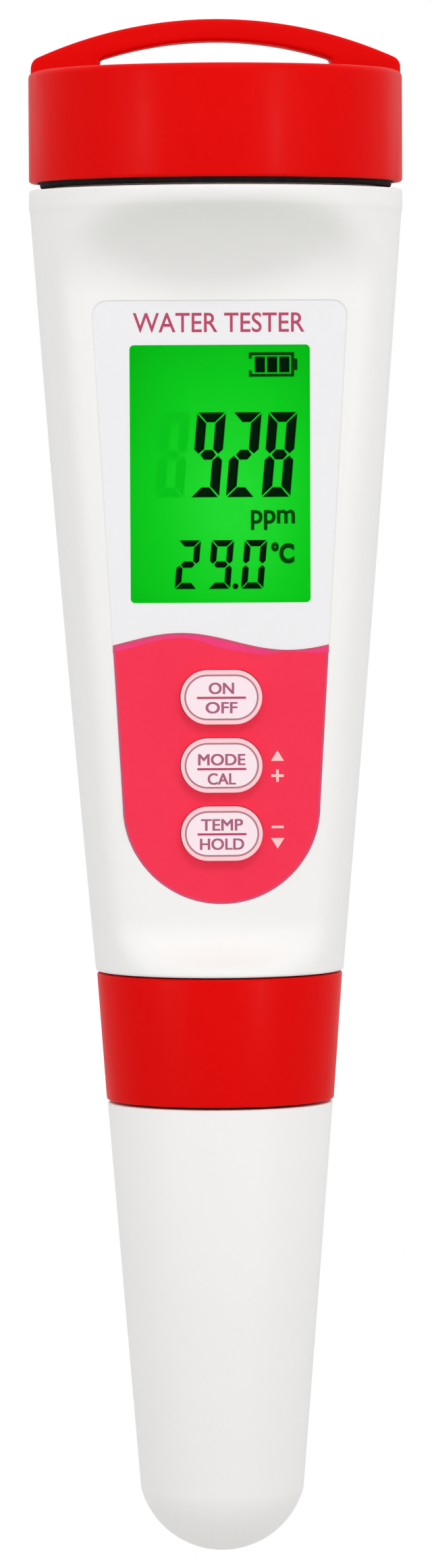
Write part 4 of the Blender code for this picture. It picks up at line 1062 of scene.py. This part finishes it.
def lamps():
    """Soft lamps aimed at the tester's middle. The two strips only show as its highlights."""
    centre = Vector((0, 0, TIP_Z + 0.09))
    for name, (azimuth, elevation, distance, width, height, power) in LAMPS.items():
        around, up = math.radians(azimuth), math.radians(elevation)
        way = Vector((math.sin(around) * math.cos(up), -math.cos(around) * math.cos(up), math.sin(up)))
        light = bpy.data.lights.new(name, "AREA")
        light.shape = "RECTANGLE"
        light.size, light.size_y, light.energy = width, height, power
        lamp = placed(name, light)
        lamp.location = centre + way * distance
        lamp.rotation_euler = (-way).to_track_quat("-Z", "Y").to_euler()
        lamp.visible_camera = False
        lamp.visible_diffuse = not name.endswith("strip")


def floor():
    """A pale floor that turns into the white of the surround far from the object."""
    level = Matrix.Translation((0, 0, TIP_Z - 0.32)) @ Matrix.Scale(MM, 4)
    made = prism("floor", circle(1600, 96), -2, 0, level)
    near, away = 0.5, 1.5
    pale = Surface("pale_floor", (0.74, 0.74, 0.73), 0.75, specular=0.0).cloud(3, 0.2, (0.71, 0.71, 0.7))
    flat = pale.add("ShaderNodeVectorMath", operation="MULTIPLY")
    pale.link(pale.place, flat.inputs[0])
    flat.inputs[1].default_value = (1, 1, 0)
    reach = pale.add("ShaderNodeVectorMath", operation="LENGTH")
    pale.link(flat.outputs[0], reach.inputs[0])
    far = pale.ramp(reach.outputs["Value"], near, away, 0, 1)
    pale.tint(far, (0, 0, 0)).set(Emission_Color=(1, 1, 1, 1))
    pale.link(far, pale.shader.inputs["Emission Strength"])
    made.data.materials.append(pale.grain(300, 0.02).material)


def sky():
    """A white surround, a shade brighter from below than from above, and plain white where it is seen."""
    world = bpy.data.worlds.new("studio")
    bpy.context.scene.world = world
    world.use_nodes = True
    nodes, links = world.node_tree.nodes, world.node_tree.links
    split = nodes.new("ShaderNodeSeparateXYZ")
    links.new(nodes.new("ShaderNodeTexCoord").outputs["Generated"], split.inputs[0])
    grade = nodes.new("ShaderNodeMapRange")
    for limit, value in (("From Min", -0.6), ("From Max", 0.6), ("To Min", SKY_LOW), ("To Max", SKY_HIGH)):
        grade.inputs[limit].default_value = value
    links.new(split.outputs["Z"], grade.inputs["Value"])
    soft = nodes["Background"]
    soft.inputs["Color"].default_value = (1, 1, 1, 1)
    links.new(grade.outputs["Result"], soft.inputs["Strength"])
    seen = nodes.new("ShaderNodeBackground")
    seen.inputs["Color"].default_value = (1, 1, 1, 1)
    mix = nodes.new("ShaderNodeMixShader")
    links.new(nodes.new("ShaderNodeLightPath").outputs["Is Camera Ray"], mix.inputs["Fac"])
    links.new(soft.outputs[0], mix.inputs[1])
    links.new(seen.outputs[0], mix.inputs[2])
    links.new(mix.outputs[0], nodes["World Output"].inputs["Surface"])


def camera():
    """Almost straight on, a little to the left, with a long lens."""
    distance, eye = 870 * MM, TIP_Z + 130.4 * MM
    yaw, aim, pitch, roll = (math.radians(a) for a in (1.9, 1.879, 2.62, 0.3))
    data = bpy.data.cameras.new("camera")
    data.sensor_width, data.lens = 36, 169.8
    data.clip_start, data.clip_end = 0.05, 20
    made = placed("camera", data)
    made.location = (-math.sin(yaw) * distance, -math.cos(yaw) * distance, eye)
    ahead = Vector((math.sin(aim) * math.cos(pitch), math.cos(aim) * math.cos(pitch), -math.sin(pitch)))
    turn = ahead.to_track_quat("-Z", "Y").to_matrix().to_4x4() @ Matrix.Rotation(-roll, 4, "Z")
    made.rotation_euler = turn.to_euler()
    bpy.context.scene.camera = made


def main():
    mats = make_materials()
    housing(mats)
    label(mats)
    coloured_field(mats)
    label_print(mats)
    display(mats)
    for name, v in key_places().items():
        key(name, v, mats)
    top_cap(mats)
    cap_gasket(mats)
    locking_collar(mats)
    electrode(mats)
    sensor_cap(mats)
    storage_sponge(mats)
    dress(mats)
    floor()
    sky()
    lamps()
    camera()
    bpy.context.scene.view_settings.view_transform = "Standard"


main()
